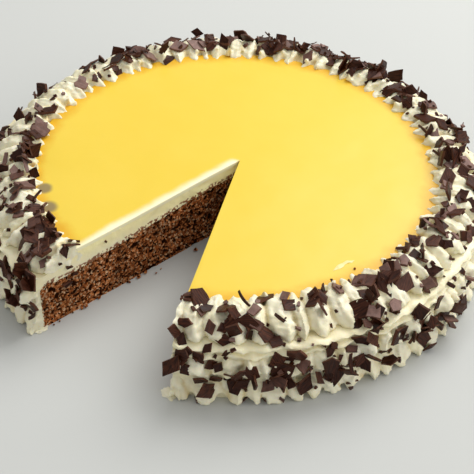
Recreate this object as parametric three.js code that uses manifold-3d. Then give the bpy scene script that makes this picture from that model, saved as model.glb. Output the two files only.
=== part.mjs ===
// Egg liqueur cake with one slice taken out, in millimetres.
//
// A round chocolate and nut sponge, domed a little in the middle, is spread with whipped cream over its top
// and side. A border of whipped cream stars stands along the rim, and a second row of stars runs round the
// foot of the side. The egg liqueur was poured inside the rim border and has set level with its teeth.
// The cake rests on its flat underside at z = 0, with +Z up, the outer circle centred on the origin and the
// missing slice centred on -Y.

import * as THREE from "three";
import { mergeVertices } from "three/addons/utils/BufferGeometryUtils.js";
import Module from "manifold-3d";

const wasm = await Module();
wasm.setup();

// Driving dimensions
const SPONGE_RADIUS = 130; // baked in a 260 mm springform tin
const SPONGE_EDGE_HEIGHT = 27;
const SPONGE_DOME_RISE = 7.5; // the middle stands this much above the edge
const SPONGE_CORNER = 2; // the top edge is a little rounded
const COAT_RADIUS = 133;
const COAT_RIM_HEIGHT = 36.6; // top of the spread cream under the border
const COAT_SHOULDER = 11; // the spread cream rounds over at its top edge
const LIQUEUR_RADIUS = 107;
const LIQUEUR_THICKNESS = 2;
const LIQUEUR_EDGE_TOP = 40;
const LIQUEUR_DOME_RISE = 2;
const DOME_STEPS = 3; // rings of facets from the middle of a domed layer to its edge
const SLICE_HALF_ANGLE = 17.1; // degrees, half of the missing slice
const KNIFE_TIP = new THREE.Vector2(2, 1.1); // where the two cuts meet, just off the centre
const GAP = 0.3; // clearance between neighbouring solids
const ROUND_STEPS = 48; // facets round the cake
const NOZZLE_TEETH = 7; // each tooth of the piping nozzle leaves one valley between two flutes

// A row of piped stars: the ring that their middles stand on, the size of one star, and how much they differ.
// An outline gives radius and height of a star's flutes, as shares of its half width and height.
// A bead is the run of cream under the stars that joins them: its inner wall, and its outer wall below and above.
const RIM_STARS = {
  count: 30,
  ringRadius: 115.2,
  baseHeight: 32.8,
  halfWidth: 16,
  height: 13.4,
  fluteDepth: 0.12,
  jitter: 0.05,
  seed: 3,
  outline: [
    [1, 0.02],
    [0.72, 0.5],
    [0.38, 0.86],
  ],
  bead: { inner: 108, outerLow: 129, outerHigh: 120, low: 30, high: 40.5 },
};
const FOOT_STARS = {
  count: 34,
  ringRadius: 125.6,
  baseHeight: 0,
  halfWidth: 11.6,
  height: 31,
  fluteDepth: 0.12,
  jitter: 0.05,
  seed: 11,
  outline: [
    [1, 0],
    [0.93, 0.55],
    [0.78, 0.85],
  ],
  bead: { inner: 125, outerLow: 134.6, outerHigh: 134.6, low: 0, high: 27 },
};

const COLOURS = {
  sponge: 0x5a3520,
  cream: 0xf5efdc,
  liqueur: 0xffdf62,
};

const degrees = (angle) => (angle * Math.PI) / 180;

// A repeatable number from 0 to 1 for each whole number, for the unevenness of hand piping.
function unevenness(index) {
  const wave = Math.sin(index * 12.9898 + 78.233) * 43758.5453;
  return wave - Math.floor(wave);
}

// 1 in the middle of a disc of this radius and 0 at its edge, level at both.
function dome(radius, edge) {
  return Math.cos((Math.PI / 2) * Math.min(radius / edge, 1)) ** 2;
}

const spongeTop = (radius) =>
  SPONGE_EDGE_HEIGHT + SPONGE_DOME_RISE * dome(radius, SPONGE_RADIUS);
const liqueurTop = (radius) =>
  LIQUEUR_EDGE_TOP + LIQUEUR_DOME_RISE * dome(radius, LIQUEUR_RADIUS);

// Points along a domed surface from the axis out to a radius.
function domeLine(height, radius, steps) {
  return Array.from({ length: steps + 1 }, (_, i) => {
    const r = (radius * i) / steps;
    return [r, height(r)];
  });
}

// A solid of revolution about +Z from a profile of [radius, height] points that starts and ends on the axis.
function turned(profile, steps = ROUND_STEPS) {
  const points = profile.map(([r, z]) => new THREE.Vector2(r, z));
  return new THREE.LatheGeometry(points, steps).rotateX(Math.PI / 2);
}

// A three.js geometry as a manifold-3d solid, turned the right way out.
function solid(geometry) {
  const bare = geometry.clone();
  bare.deleteAttribute("normal");
  bare.deleteAttribute("uv");
  const merged = mergeVertices(bare, 1e-4);
  const triVerts = new Uint32Array(merged.index.array);
  const corners = merged.attributes.position;
  const a = new THREE.Vector3();
  const b = new THREE.Vector3();
  const c = new THREE.Vector3();
  let volume = 0;
  for (let i = 0; i < triVerts.length; i += 3) {
    a.fromBufferAttribute(corners, triVerts[i]);
    b.fromBufferAttribute(corners, triVerts[i + 1]);
    c.fromBufferAttribute(corners, triVerts[i + 2]);
    volume += a.dot(b.cross(c));
  }
  if (volume < 0) triVerts.reverse();
  return new wasm.Manifold(
    new wasm.Mesh({
      numProp: 3,
      vertProperties: corners.array,
      triVerts,
    }),
  );
}

// A manifold-3d solid as a three.js geometry.
function geometryOf(shape) {
  const mesh = shape.getMesh();
  const geometry = new THREE.BufferGeometry();
  geometry.setAttribute(
    "position",
    new THREE.BufferAttribute(new Float32Array(mesh.vertProperties), 3),
  );
  geometry.setIndex(new THREE.BufferAttribute(mesh.triVerts, 1));
  geometry.computeVertexNormals();
  return geometry;
}

// The wedge that the knife took out, taller than the cake and longer than its radius.
function missingSlice() {
  const reach = 260;
  const outer = [-1, 1].map((side) => {
    const angle = degrees(-90 + side * SLICE_HALF_ANGLE);
    return new THREE.Vector2(Math.cos(angle), Math.sin(angle))
      .multiplyScalar(reach)
      .add(KNIFE_TIP);
  });
  const outline = new THREE.Shape([KNIFE_TIP, ...outer]);
  const wedge = new THREE.ExtrudeGeometry(outline, {
    depth: 80,
    bevelEnabled: false,
  });
  return solid(wedge.translate(0, 0, -10));
}

// One star of whipped cream, standing on the origin: a turned dollop whose side is drawn into flutes.
function pipedStar(row, halfWidth, height, turn) {
  const profile = [
    [0, row.outline[0][1] * height],
    ...row.outline.map(([r, z]) => [r * halfWidth, z * height]),
    [0, height],
  ];
  // the turned shape has one line of corners along each flute and one in each valley between two
  const star = turned(profile, NOZZLE_TEETH * 2);
  const at = star.attributes.position;
  for (let i = 0; i < at.count; i++) {
    const x = at.getX(i);
    const y = at.getY(i);
    const flute = Math.cos(NOZZLE_TEETH * (Math.atan2(y, x) + Math.PI / 2));
    const stretch = 1 + row.fluteDepth * (flute - 0.5);
    at.setXY(i, x * stretch, y * stretch);
  }
  return star.rotateZ(turn);
}

// A row of stars round the cake, joined into one solid.
function starRow(row) {
  const stars = [];
  for (let i = 0; i < row.count; i++) {
    const uneven = (k) => 2 * unevenness(row.seed + 7 * i + k) - 1;
    const halfWidth = row.halfWidth * (1 + row.jitter * uneven(0));
    const height = row.height * (1 + row.jitter * uneven(1));
    const around = degrees(-90 + (360 * (i + 0.5 + 0.12 * uneven(2))) / row.count);
    const star = pipedStar(row, halfWidth, height, degrees(22 * uneven(3)))
      .translate(row.ringRadius + row.jitter * 8 * uneven(4), 0, row.baseHeight)
      .rotateZ(around);
    stars.push(solid(star));
  }
  const { inner, outerLow, outerHigh, low, high } = row.bead;
  const bead = [[inner, low], [outerLow, low], [outerHigh, high], [inner, high], [inner, low]];
  stars.push(solid(turned(bead)));
  return wasm.Manifold.union(stars);
}

// The spread cream as a full body, grown by an allowance, with the liqueur's seat as its top.
function coatBody(grown = 0) {
  const seat = (r) => liqueurTop(r) - LIQUEUR_THICKNESS - GAP;
  const radius = COAT_RADIUS + grown;
  const shoulder = [0, 1 / 3, 2 / 3, 1].map((share) => {
    const turn = degrees(90 * share);
    return [
      radius - COAT_SHOULDER * (1 - Math.sin(turn)),
      COAT_RIM_HEIGHT + grown - COAT_SHOULDER * (1 - Math.cos(turn)),
    ];
  });
  return solid(
    turned([
      ...domeLine((r) => seat(r) + grown, LIQUEUR_RADIUS, DOME_STEPS),
      ...shoulder,
      [radius, -grown],
      [0, -grown],
    ]),
  );
}

function spongeBody(grown = 0) {
  const radius = SPONGE_RADIUS + grown;
  return solid(
    turned([
      ...domeLine((r) => spongeTop(r) + grown, SPONGE_RADIUS - SPONGE_CORNER, DOME_STEPS),
      [radius, SPONGE_EDGE_HEIGHT - SPONGE_CORNER + grown],
      [radius, -grown],
      [0, -grown],
    ]),
  );
}

function liqueurBody() {
  const underside = domeLine((r) => liqueurTop(r) - LIQUEUR_THICKNESS, LIQUEUR_RADIUS, DOME_STEPS);
  return solid(
    turned([...domeLine(liqueurTop, LIQUEUR_RADIUS, DOME_STEPS), ...underside.reverse()]),
  );
}

// The upright wall of spread cream that the foot row leans on, taller and deeper than the row.
function coatWall() {
  const radius = COAT_RADIUS + GAP;
  return solid(turned([[0, 60], [radius, 60], [radius, -5], [0, -5]]));
}

const slice = missingSlice();
const bodies = {
  sponge: spongeBody(),
  cream_coat: coatBody().subtract(spongeBody(GAP)),
  egg_liqueur: liqueurBody().subtract(grownRim()),
  rim_border: starRow(RIM_STARS).subtract(coatBody(GAP)),
  foot_border: starRow(FOOT_STARS).subtract(coatWall()),
};

// The rim border with its stars grown by the gap, to cut the liqueur's edge to their teeth.
function grownRim() {
  return starRow({
    ...RIM_STARS,
    halfWidth: RIM_STARS.halfWidth + GAP,
    height: RIM_STARS.height + GAP,
  });
}

const FINISHES = {
  sponge: { color: COLOURS.sponge, roughness: 0.95 },
  cream_coat: { color: COLOURS.cream, roughness: 0.5 },
  egg_liqueur: { color: COLOURS.liqueur, roughness: 0.12 },
  rim_border: { color: COLOURS.cream, roughness: 0.5 },
  foot_border: { color: COLOURS.cream, roughness: 0.5 },
};

const cake = new THREE.Group();
for (const [name, body] of Object.entries(bodies)) {
  const material = new THREE.MeshStandardMaterial({ metalness: 0, ...FINISHES[name] });
  const piece = new THREE.Mesh(geometryOf(body.subtract(slice)), material);
  piece.name = name;
  cake.add(piece);
}

export default cake;
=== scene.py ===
"""The looks of an egg liqueur cake with one slice taken out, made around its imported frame.

Each class builds one piece of the cake. Sizes in the classes are millimetres, and a mesh is brought to
metres as its last step, so every finished object sits at the origin with its place in its mesh.
"""

import logging
import math
import random
from contextlib import contextmanager
from dataclasses import dataclass, field
from enum import Enum
from typing import Iterator, Sequence

import bmesh
import bpy
from bmesh.types import BMEdge, BMesh, BMFace, BMVert
from bpy.types import Material, Mesh, Node, NodeTree, Object
from bpy.types import NodeSocket as Socket
from mathutils import Matrix, Vector, noise
from mathutils.bvhtree import BVHTree

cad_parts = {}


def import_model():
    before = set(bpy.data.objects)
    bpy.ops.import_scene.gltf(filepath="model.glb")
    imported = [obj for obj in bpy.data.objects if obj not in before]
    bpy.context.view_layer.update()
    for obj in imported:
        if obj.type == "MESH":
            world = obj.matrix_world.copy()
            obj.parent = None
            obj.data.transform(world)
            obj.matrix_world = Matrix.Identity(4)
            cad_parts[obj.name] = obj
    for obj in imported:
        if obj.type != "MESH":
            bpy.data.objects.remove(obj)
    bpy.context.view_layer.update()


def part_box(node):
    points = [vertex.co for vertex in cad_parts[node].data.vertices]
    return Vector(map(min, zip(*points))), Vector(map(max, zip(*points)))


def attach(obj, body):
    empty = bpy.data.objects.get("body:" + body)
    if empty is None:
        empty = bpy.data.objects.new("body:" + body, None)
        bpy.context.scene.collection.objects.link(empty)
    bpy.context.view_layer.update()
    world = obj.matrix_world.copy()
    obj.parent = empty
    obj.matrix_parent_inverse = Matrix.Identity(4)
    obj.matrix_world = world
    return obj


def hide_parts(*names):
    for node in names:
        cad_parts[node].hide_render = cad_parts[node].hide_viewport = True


log = logging.getLogger("egg_liqueur_cake")

MILLIMETRE = 0.001
WELD = 1e-3
BODY = "root"
PHOTO_PIXELS = 474

# Groups of numbers: the two ends of a range or the two parts of a point, and a line of such points.
Span = tuple[float, float]
Pairs = tuple[Span, ...]
Triple = tuple[float, float, float]
Quad = tuple[float, float, float, float]
Colour = Triple


# ---- Plain helpers ----


def unevenness(index: float) -> float:
    """A repeatable number from 0 to 1 for each index, as the frame's own piped stars use."""
    wave = math.sin(index * 12.9898 + 78.233) * 43758.5453
    return wave - math.floor(wave)


def interpolated(points: Sequence[Span], where: float) -> float:
    """The height of a line through points at a place along it, level past its ends.

    Args:
        points: the line's corners, each a place and a height.
        where: the place.

    Returns:
        The height there.
    """
    if where <= points[0][0]:
        return points[0][1]
    for (x0, y0), (x1, y1) in zip(points, points[1:]):
        if where <= x1:
            return y0 + (y1 - y0) * (where - x0) / (x1 - x0)
    return points[-1][1]


def spun(profile: Sequence[Span], steps: int) -> BMesh:
    """Turns a profile about the Z axis into a closed body.

    Args:
        profile: [radius, height] points that start and end on the axis, or close on themselves.
        steps: facets in a full turn.

    Returns:
        A mesh with its doubles merged and its faces pointing out.
    """
    bm = bmesh.new()
    closed = profile[0] == profile[-1]
    corners = [bm.verts.new((r, 0.0, z)) for r, z in (profile[:-1] if closed else profile)]
    pairs = list(zip(corners, corners[1:])) + ([(corners[-1], corners[0])] if closed else [])
    edges = [bm.edges.new(pair) for pair in pairs]
    bmesh.ops.spin(
        bm,
        geom=corners + edges,
        cent=(0, 0, 0),
        axis=(0, 0, 1),
        angle=math.tau,
        steps=steps,
        use_merge=True,
    )
    bmesh.ops.remove_doubles(bm, verts=bm.verts, dist=1e-4)
    bmesh.ops.recalc_face_normals(bm, faces=bm.faces)
    return bm


def linked(bm: BMesh, name: str) -> Object:
    """Makes an object of a mesh still in millimetres and frees the bmesh.

    Args:
        bm: the finished shape.
        name: the object's name.

    Returns:
        The object, in the scene.
    """
    mesh = bpy.data.meshes.new(name)
    bm.to_mesh(mesh)
    bm.free()
    piece = bpy.data.objects.new(name, mesh)
    bpy.context.scene.collection.objects.link(piece)
    return piece


@contextmanager
def reshaped(piece: Object, weld: float = 0.0) -> Iterator[BMesh]:
    """Opens a piece's mesh for bmesh operators and writes it back at the end.

    Args:
        piece: the object whose mesh is changed.
        weld: corners nearer than this are merged first.

    Yields:
        The mesh as a bmesh.
    """
    bm = bmesh.new()
    bm.from_mesh(piece.data)
    if weld:
        bmesh.ops.remove_doubles(bm, verts=bm.verts, dist=weld)
    yield bm
    bm.to_mesh(piece.data)
    bm.free()


def added(body: BMesh, whole: BMesh) -> None:
    """Puts a loose body into a larger mesh and frees it.

    Args:
        body: the loose body.
        whole: the mesh that takes it up.
    """
    loose = bpy.data.meshes.new("loose")
    body.to_mesh(loose)
    body.free()
    whole.from_mesh(loose)
    bpy.data.meshes.remove(loose)


def corners_among(parts: Sequence[object]) -> list[BMVert]:
    """The corners among the parts that an operator made."""
    return [part for part in parts if isinstance(part, BMVert)]


def parts_of(faces: list[BMFace]) -> list[object]:
    """Faces with their corners and edges, each once and in the same order in every run."""
    verts = dict.fromkeys(vert for face in faces for vert in face.verts)
    edges = dict.fromkeys(edge for face in faces for edge in face.edges)
    return [*verts, *edges, *faces]


def everything(bm: BMesh) -> list[object]:
    """All corners, edges and faces of a mesh, as an operator's input."""
    return bm.verts[:] + bm.edges[:] + bm.faces[:]


def turn(degrees: float, axis: str, size: int = 4) -> Matrix:
    """A turn about an axis, in degrees."""
    return Matrix.Rotation(math.radians(degrees), size, axis)


def share_between(low: float, high: float, value: float) -> float:
    """How far a value lies on the way from low to high, kept from 0 to 1."""
    return min(max((value - low) / (high - low), 0.0), 1.0)


def dome(radius: float, edge: float) -> float:
    """1 in the middle of a disc and 0 at its edge, level at both."""
    return math.cos(math.pi / 2 * min(radius / edge, 1)) ** 2


def applied(piece: Object, kind: str, **settings: object) -> Object:
    """Puts one modifier on a piece and bakes its result into the mesh.

    Args:
        piece: the object to change.
        kind: Blender's name for the modifier's type.
        **settings: the modifier's values.

    Returns:
        The same object with its new mesh.
    """
    modifier = piece.modifiers.new(kind.title(), kind)
    for name, value in settings.items():
        setattr(modifier, name, value)
    bpy.context.view_layer.update()
    mesh = bpy.data.meshes.new_from_object(piece.evaluated_get(bpy.context.evaluated_depsgraph_get()))
    piece.modifiers.clear()
    old, piece.data = piece.data, mesh
    bpy.data.meshes.remove(old)
    return piece


def removed(piece: Object) -> None:
    """Deletes a helper object and its mesh.

    Args:
        piece: the helper.
    """
    mesh = piece.data
    bpy.data.objects.remove(piece)
    bpy.data.meshes.remove(mesh)


# ---- Shared sizes ----


@dataclass(frozen=True)
class CakeSizes:
    """The cake's main sizes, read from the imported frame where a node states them."""

    sponge_radius: float
    sponge_top: float
    coat_radius: float
    liqueur_top: float
    liqueur_edge: float = 107.0
    sponge_edge_height: float = 27.0
    liqueur_edge_top: float = 40.0
    liqueur_thickness: float = 2.0

    @classmethod
    def from_frame(cls) -> "CakeSizes":
        """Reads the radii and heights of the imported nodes.

        Returns:
            The cake's sizes.
        """
        sponge, coat, liqueur = (
            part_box(node)[1] / MILLIMETRE for node in ("sponge", "cream_coat", "egg_liqueur")
        )
        return cls(sponge_radius=sponge.x, sponge_top=sponge.z, coat_radius=coat.x, liqueur_top=liqueur.z)

    def sponge_height(self, radius: float) -> float:
        """Height of the sponge's domed top at a radius."""
        rise = self.sponge_top - self.sponge_edge_height
        return self.sponge_edge_height + rise * dome(radius, self.sponge_radius)

    def liqueur_height(self, radius: float) -> float:
        """Height of the liqueur's surface at a radius."""
        rise = self.liqueur_top - self.liqueur_edge_top
        return self.liqueur_edge_top + rise * dome(radius, self.liqueur_edge)


class CutSide(Enum):
    """The two walls of the missing slice, seen from its open side."""

    LEFT = -1
    RIGHT = 1


@dataclass(frozen=True)
class MissingSlice:
    """The wedge that the knife took out, centred on -Y."""

    tip: Span = (2.0, 1.1)
    half_angle: float = math.radians(17.1)
    reach: float = 260.0
    wedge_bottom: float = -20.0
    wedge_height: float = 100.0

    @property
    def apex(self) -> Vector:
        """The place on the floor where the two cuts meet."""
        return Vector((*self.tip, 0.0))

    def along(self, side: CutSide) -> Vector:
        """Unit vector outwards along one cut."""
        angle = -math.pi / 2 + side.value * self.half_angle
        return Vector((math.cos(angle), math.sin(angle), 0.0))

    def into_gap(self, side: CutSide) -> Vector:
        """Unit normal of one cut, pointing into the gap."""
        way = self.along(side)
        return Vector((way.y, -way.x, 0.0)) * side.value

    def depth(self, point: Vector, side: CutSide) -> float:
        """How far a point lies on the gap's side of one cut."""
        return Vector((point.x - self.tip[0], point.y - self.tip[1], 0.0)).dot(self.into_gap(side))

    def holds(self, point: Vector, margin: float = 0.0) -> bool:
        """Whether a point lies inside the gap, or within a margin of it."""
        return all(self.depth(point, side) > -margin for side in CutSide)

    def wedge(self) -> Object:
        """The wedge as a helper object, taller than the cake.

        Returns:
            The helper object.
        """
        bm = bmesh.new()
        corners = [bm.verts.new((*self.tip, self.wedge_bottom))]
        for side in CutSide:
            way = self.along(side) * self.reach
            corners.append(bm.verts.new((self.tip[0] + way.x, self.tip[1] + way.y, self.wedge_bottom)))
        base = bm.faces.new(corners)
        top = bmesh.ops.extrude_face_region(bm, geom=[base])["geom"]
        bmesh.ops.translate(bm, verts=corners_among(top), vec=(0, 0, self.wedge_height))
        bmesh.ops.recalc_face_normals(bm, faces=bm.faces)
        return linked(bm, "slice_wedge")

    def cut_from(self, piece: Object) -> Object:
        """Takes the wedge out of a piece with an exact boolean.

        Args:
            piece: the whole piece.

        Returns:
            The same piece with the gap in it.
        """
        wedge = self.wedge()
        applied(piece, "BOOLEAN", operation="DIFFERENCE", solver="EXACT", object=wedge)
        removed(wedge)
        return piece


# ---- Shader building ----


class ShaderBench:
    """Adds nodes to one tree with short calls."""

    def __init__(self, tree: NodeTree) -> None:
        """Keeps the tree to work on."""
        self.tree = tree

    def node(self, kind: str, **inputs: object) -> Node:
        """Adds a node.

        Args:
            kind: the node's type name.
            **inputs: its own properties, and values or sockets for its inputs with underscores for spaces.

        Returns:
            The node.
        """
        made = self.tree.nodes.new(kind)
        for name, value in inputs.items():
            label = name.replace("_", " ")
            if label in made.inputs:
                self.feed(made.inputs[label], value)
            else:
                setattr(made, name, value)
        return made

    def feed(self, socket: Socket, value: object) -> None:
        """Links a socket, or sets its value.

        Args:
            socket: the input.
            value: another socket, or the value.
        """
        if isinstance(value, Socket):
            self.tree.links.new(value, socket)
        elif isinstance(value, tuple) and socket.type == "RGBA" and len(value) == 3:
            socket.default_value = (*value, 1.0)
        else:
            socket.default_value = value

    def maths(self, operation: str, a: object, b: object = 0.0, clamp: bool = False) -> Socket:
        """A Math node's result.

        Args:
            operation: what the node does.
            a: its first value or socket.
            b: its second value or socket.
            clamp: whether the result is kept from 0 to 1.

        Returns:
            The socket with the result.
        """
        made = self.node("ShaderNodeMath", operation=operation, use_clamp=clamp)
        self.feed(made.inputs[0], a)
        self.feed(made.inputs[1], b)
        return made.outputs[0]

    def times(self, a: object, b: object) -> Socket:
        """The product of two values."""
        return self.maths("MULTIPLY", a, b)

    def plus(self, a: object, b: object) -> Socket:
        """The sum of two values."""
        return self.maths("ADD", a, b)

    def minus(self, a: object, b: object) -> Socket:
        """The first value less the second."""
        return self.maths("SUBTRACT", a, b)

    def vector(self, operation: str, a: object, b: object, result: str) -> Socket:
        """A Vector Math node's result.

        Args:
            operation: what the node does.
            a: its first vector or socket.
            b: its second vector or socket.
            result: the name of the output, Vector or Value.

        Returns:
            The socket with the result.
        """
        made = self.node("ShaderNodeVectorMath", operation=operation)
        self.feed(made.inputs[0], a)
        self.feed(made.inputs[1], b)
        return made.outputs[result]

    def mixed(self, share: object, first: object, second: object) -> Socket:
        """A colour between two colours.

        Args:
            share: how much of the second colour, from 0 to 1.
            first: the first colour or socket.
            second: the second colour or socket.

        Returns:
            The socket with the colour.
        """
        made = self.node("ShaderNodeMix", data_type="RGBA")
        self.feed(made.inputs["Factor"], share)
        self.feed(made.inputs[6], first)
        self.feed(made.inputs[7], second)
        return made.outputs[2]

    def ranged(
        self, value: object, low: float, high: float, to_low: float = 0.0, to_high: float = 1.0
    ) -> Socket:
        """A value mapped softly from one range to another.

        Args:
            value: the socket to map.
            low: where the change starts.
            high: where it ends.
            to_low: the result at low.
            to_high: the result at high.

        Returns:
            The socket with the result.
        """
        made = self.node("ShaderNodeMapRange", interpolation_type="SMOOTHSTEP")
        ends = {"Value": value, "From Min": low, "From Max": high, "To Min": to_low, "To Max": to_high}
        for slot, item in ends.items():
            self.feed(made.inputs[slot], item)
        return made.outputs[0]

    def within(self, value: object, ends: Span) -> Socket:
        """0 where a length is the first end and 1 where it is the second, both in millimetres."""
        return self.ranged(value, *(end * MILLIMETRE for end in ends))

    def attribute(self, name: str) -> Socket:
        """The value of one of the mesh's own attributes."""
        return self.node("ShaderNodeAttribute", attribute_name=name).outputs["Fac"]

    def noise(self, place: object, scale: object, detail: float = 3.0, roughness: float = 0.55) -> Socket:
        """A noise texture's value.

        Args:
            place: the socket with the place to read it at.
            scale: its cells for each metre, or a socket with them.
            detail: its octaves.
            roughness: how much the finer octaves count.

        Returns:
            The socket with the value.
        """
        made = self.node("ShaderNodeTexNoise", Scale=scale, Detail=detail, Roughness=roughness)
        self.feed(made.inputs["Vector"], place)
        return made.outputs["Fac"]

    def cells(self, place: object, scale: float) -> Node:
        """Three random numbers for each cell of a surface.

        Args:
            place: the socket with the place on the cake.
            scale: its cells for each metre.

        Returns:
            A node with the outputs Red, Green and Blue.
        """
        made = self.node("ShaderNodeTexVoronoi", Vector=place, Scale=scale, Randomness=1.0)
        return self.node("ShaderNodeSeparateColor", Color=made.outputs["Color"])


@dataclass
class EffectGroups:
    """The shader effects that more than one finish uses, each built once."""

    built: dict[str, NodeTree] = field(default_factory=dict)

    def _new(self, name: str, inputs: dict[str, object], output: str, kind: str) -> ShaderBench:
        """Starts a node group with named sockets.

        Args:
            name: the group's name.
            inputs: each input's first value: a number, a colour, or None for a vector.
            output: the name of its output.
            kind: what the output carries, Float or Color.

        Returns:
            A node maker for the group's tree.
        """
        tree = bpy.data.node_groups.new(name, "ShaderNodeTree")
        for label, value in inputs.items():
            carried = "Vector" if value is None else "Float" if isinstance(value, float) else "Color"
            socket = tree.interface.new_socket(label, in_out="INPUT", socket_type=f"NodeSocket{carried}")
            if value is not None:
                socket.default_value = value
        tree.interface.new_socket(output, in_out="OUTPUT", socket_type=f"NodeSocket{kind}")
        self.built[name] = tree
        return ShaderBench(tree)

    def grain(self) -> NodeTree:
        """Surface relief at two sizes: soft lumps and fine pores.

        Returns:
            A group with Vector, Lump Scale, Pore Scale and Pore Share in, and Height out.
        """
        if "surface_grain" not in self.built:
            inputs = {"Vector": None, "Lump Scale": 250.0, "Pore Scale": 1400.0, "Pore Share": 0.4}
            bench = self._new("surface_grain", inputs, "Height", "Float")
            source = bench.node("NodeGroupInput").outputs
            lumps = bench.noise(source["Vector"], source["Lump Scale"], detail=4.0)
            pores = bench.node("ShaderNodeTexVoronoi", Vector=source["Vector"], Scale=source["Pore Scale"])
            pitted = bench.times(pores.outputs["Distance"], source["Pore Share"])
            bench.node("NodeGroupOutput", Height=bench.plus(lumps, pitted))
        return self.built["surface_grain"]

    def mottle(self) -> NodeTree:
        """Two colours clouded into each other.

        Returns:
            A group with Vector, Scale, Spread, First and Second in, and Colour out.
        """
        if "soft_mottle" not in self.built:
            white = (1.0, 1.0, 1.0, 1.0)
            inputs = {"Vector": None, "Scale": 60.0, "Spread": 1.0, "First": white, "Second": white}
            bench = self._new("soft_mottle", inputs, "Colour", "Color")
            source = bench.node("NodeGroupInput").outputs
            cloud = bench.noise(source["Vector"], source["Scale"], detail=5.0, roughness=0.6)
            spread = bench.maths("MULTIPLY", bench.ranged(cloud, 0.35, 0.65), source["Spread"], clamp=True)
            colour = bench.mixed(spread, source["First"], source["Second"])
            bench.node("NodeGroupOutput", Colour=colour)
        return self.built["soft_mottle"]


class SurfaceBench(ShaderBench):
    """The node maker of one finish, with its shader, the shared effects and the place on the cake."""

    def __init__(self, tree: NodeTree, effects: EffectGroups) -> None:
        """Empties the tree and puts the shader and its output in.

        Args:
            tree: the material's node tree.
            effects: the shared node groups.
        """
        super().__init__(tree)
        tree.nodes.clear()
        self.effects = effects
        self.shader = self.node("ShaderNodeBsdfPrincipled")
        self.place = self.node("ShaderNodeTexCoord").outputs["Object"]
        self.node("ShaderNodeOutputMaterial", Surface=self.shader.outputs["BSDF"])

    def coloured(self, value: object) -> None:
        """Gives the shader its colour."""
        self.feed(self.shader.inputs["Base Color"], value)


@dataclass(frozen=True)
class Finish:
    """A finish: the constant values of its surface, and how its changing values are worked out.

    The clouds mix two colours. The grain is relief at two sizes. Their scales are in cells for each metre.
    """

    name: str
    roughness: float
    specular: float = 0.5
    subsurface: float = 0.0
    subsurface_radius: Colour = (1.0, 0.6, 0.3)
    subsurface_scale: float = 0.002
    cloud_scale: float = 60.0
    cloud_spread: float = 1.0
    lump_scale: float = 300.0
    pore_scale: float = 1500.0
    pore_share: float = 0.15
    relief_depth: float = 0.3

    def material(self, effects: EffectGroups) -> Material:
        """Builds the material, with its own part from paint().

        Args:
            effects: the shared node groups.

        Returns:
            The new material.
        """
        made = bpy.data.materials.new(self.name)
        made.use_nodes = True
        bench = SurfaceBench(made.node_tree, effects)
        constants = {
            "Roughness": self.roughness,
            "Specular IOR Level": self.specular,
            "Subsurface Weight": self.subsurface,
            "Subsurface Radius": self.subsurface_radius,
            "Subsurface Scale": self.subsurface_scale,
        }
        for label, value in constants.items():
            bench.shader.inputs[label].default_value = value
        self.paint(bench)
        return made

    def paint(self, bench: SurfaceBench) -> None:
        """Feeds the surface's changing values from the finish's node maker."""
        raise NotImplementedError

    def clouded(self, bench: SurfaceBench, first: object, second: object) -> Socket:
        """Clouds two colours into each other.

        Args:
            bench: the finish's node maker.
            first: the first colour or socket.
            second: the second colour or socket.

        Returns:
            The socket with the colour.
        """
        group = bench.node(
            "ShaderNodeGroup",
            node_tree=bench.effects.mottle(),
            Vector=bench.place,
            Scale=self.cloud_scale,
            Spread=self.cloud_spread,
            First=first,
            Second=second,
        )
        return group.outputs["Colour"]

    def grained(self, bench: SurfaceBench) -> None:
        """Gives the surface the relief of its grain.

        Args:
            bench: the finish's node maker.
        """
        group = bench.node(
            "ShaderNodeGroup",
            node_tree=bench.effects.grain(),
            Vector=bench.place,
            Lump_Scale=self.lump_scale,
            Pore_Scale=self.pore_scale,
            Pore_Share=self.pore_share,
        )
        self.relief(bench, group.outputs["Height"])

    def relief(self, bench: SurfaceBench, height: Socket) -> None:
        """Bumps the surface by the finish's own depth, which is in millimetres.

        Args:
            bench: the finish's node maker.
            height: the socket with the relief's height.
        """
        depth = self.relief_depth * MILLIMETRE
        bump = bench.node("ShaderNodeBump", Height=height, Distance=depth, Strength=1.0)
        bench.feed(bench.shader.inputs["Normal"], bump.outputs["Normal"])


@dataclass(frozen=True)
class CreamFinish(Finish):
    """Whipped cream: warm white, a little see-through, with fine foam pores.

    How deep a place lies between the pleats, and how much painted shade that gives, are one range each.
    """

    name: str = "whipped_cream"
    roughness: float = 0.36
    subsurface: float = 0.2
    subsurface_radius: Colour = (1.0, 0.75, 0.42)
    cloud_scale: float = 70.0
    cloud_spread: float = 0.7
    relief_depth: float = 0.36
    light: Colour = (0.90, 0.855, 0.66)
    shade: Colour = (0.86, 0.79, 0.53)
    # deep: painted shade laid between the pleats, by how deep a place lies there
    deep: Colour = (0.68, 0.54, 0.25)
    valley_shade_range: Quad = (0.3, 0.95, 0.0, 0.85)

    def paint(self, bench: SurfaceBench) -> None:
        """Clouds the two whites and adds the foam's relief.

        Args:
            bench: the finish's node maker.
        """
        bench.coloured(self.tinted(bench, self.clouded(bench, self.light, self.shade)))
        self.grained(bench)

    def tinted(self, bench: SurfaceBench, cream: Socket) -> Socket:
        """Paints shade into the valleys between the pleats."""
        return bench.mixed(bench.ranged(bench.attribute("valley_shade"), *self.valley_shade_range), cream, self.deep)


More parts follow.
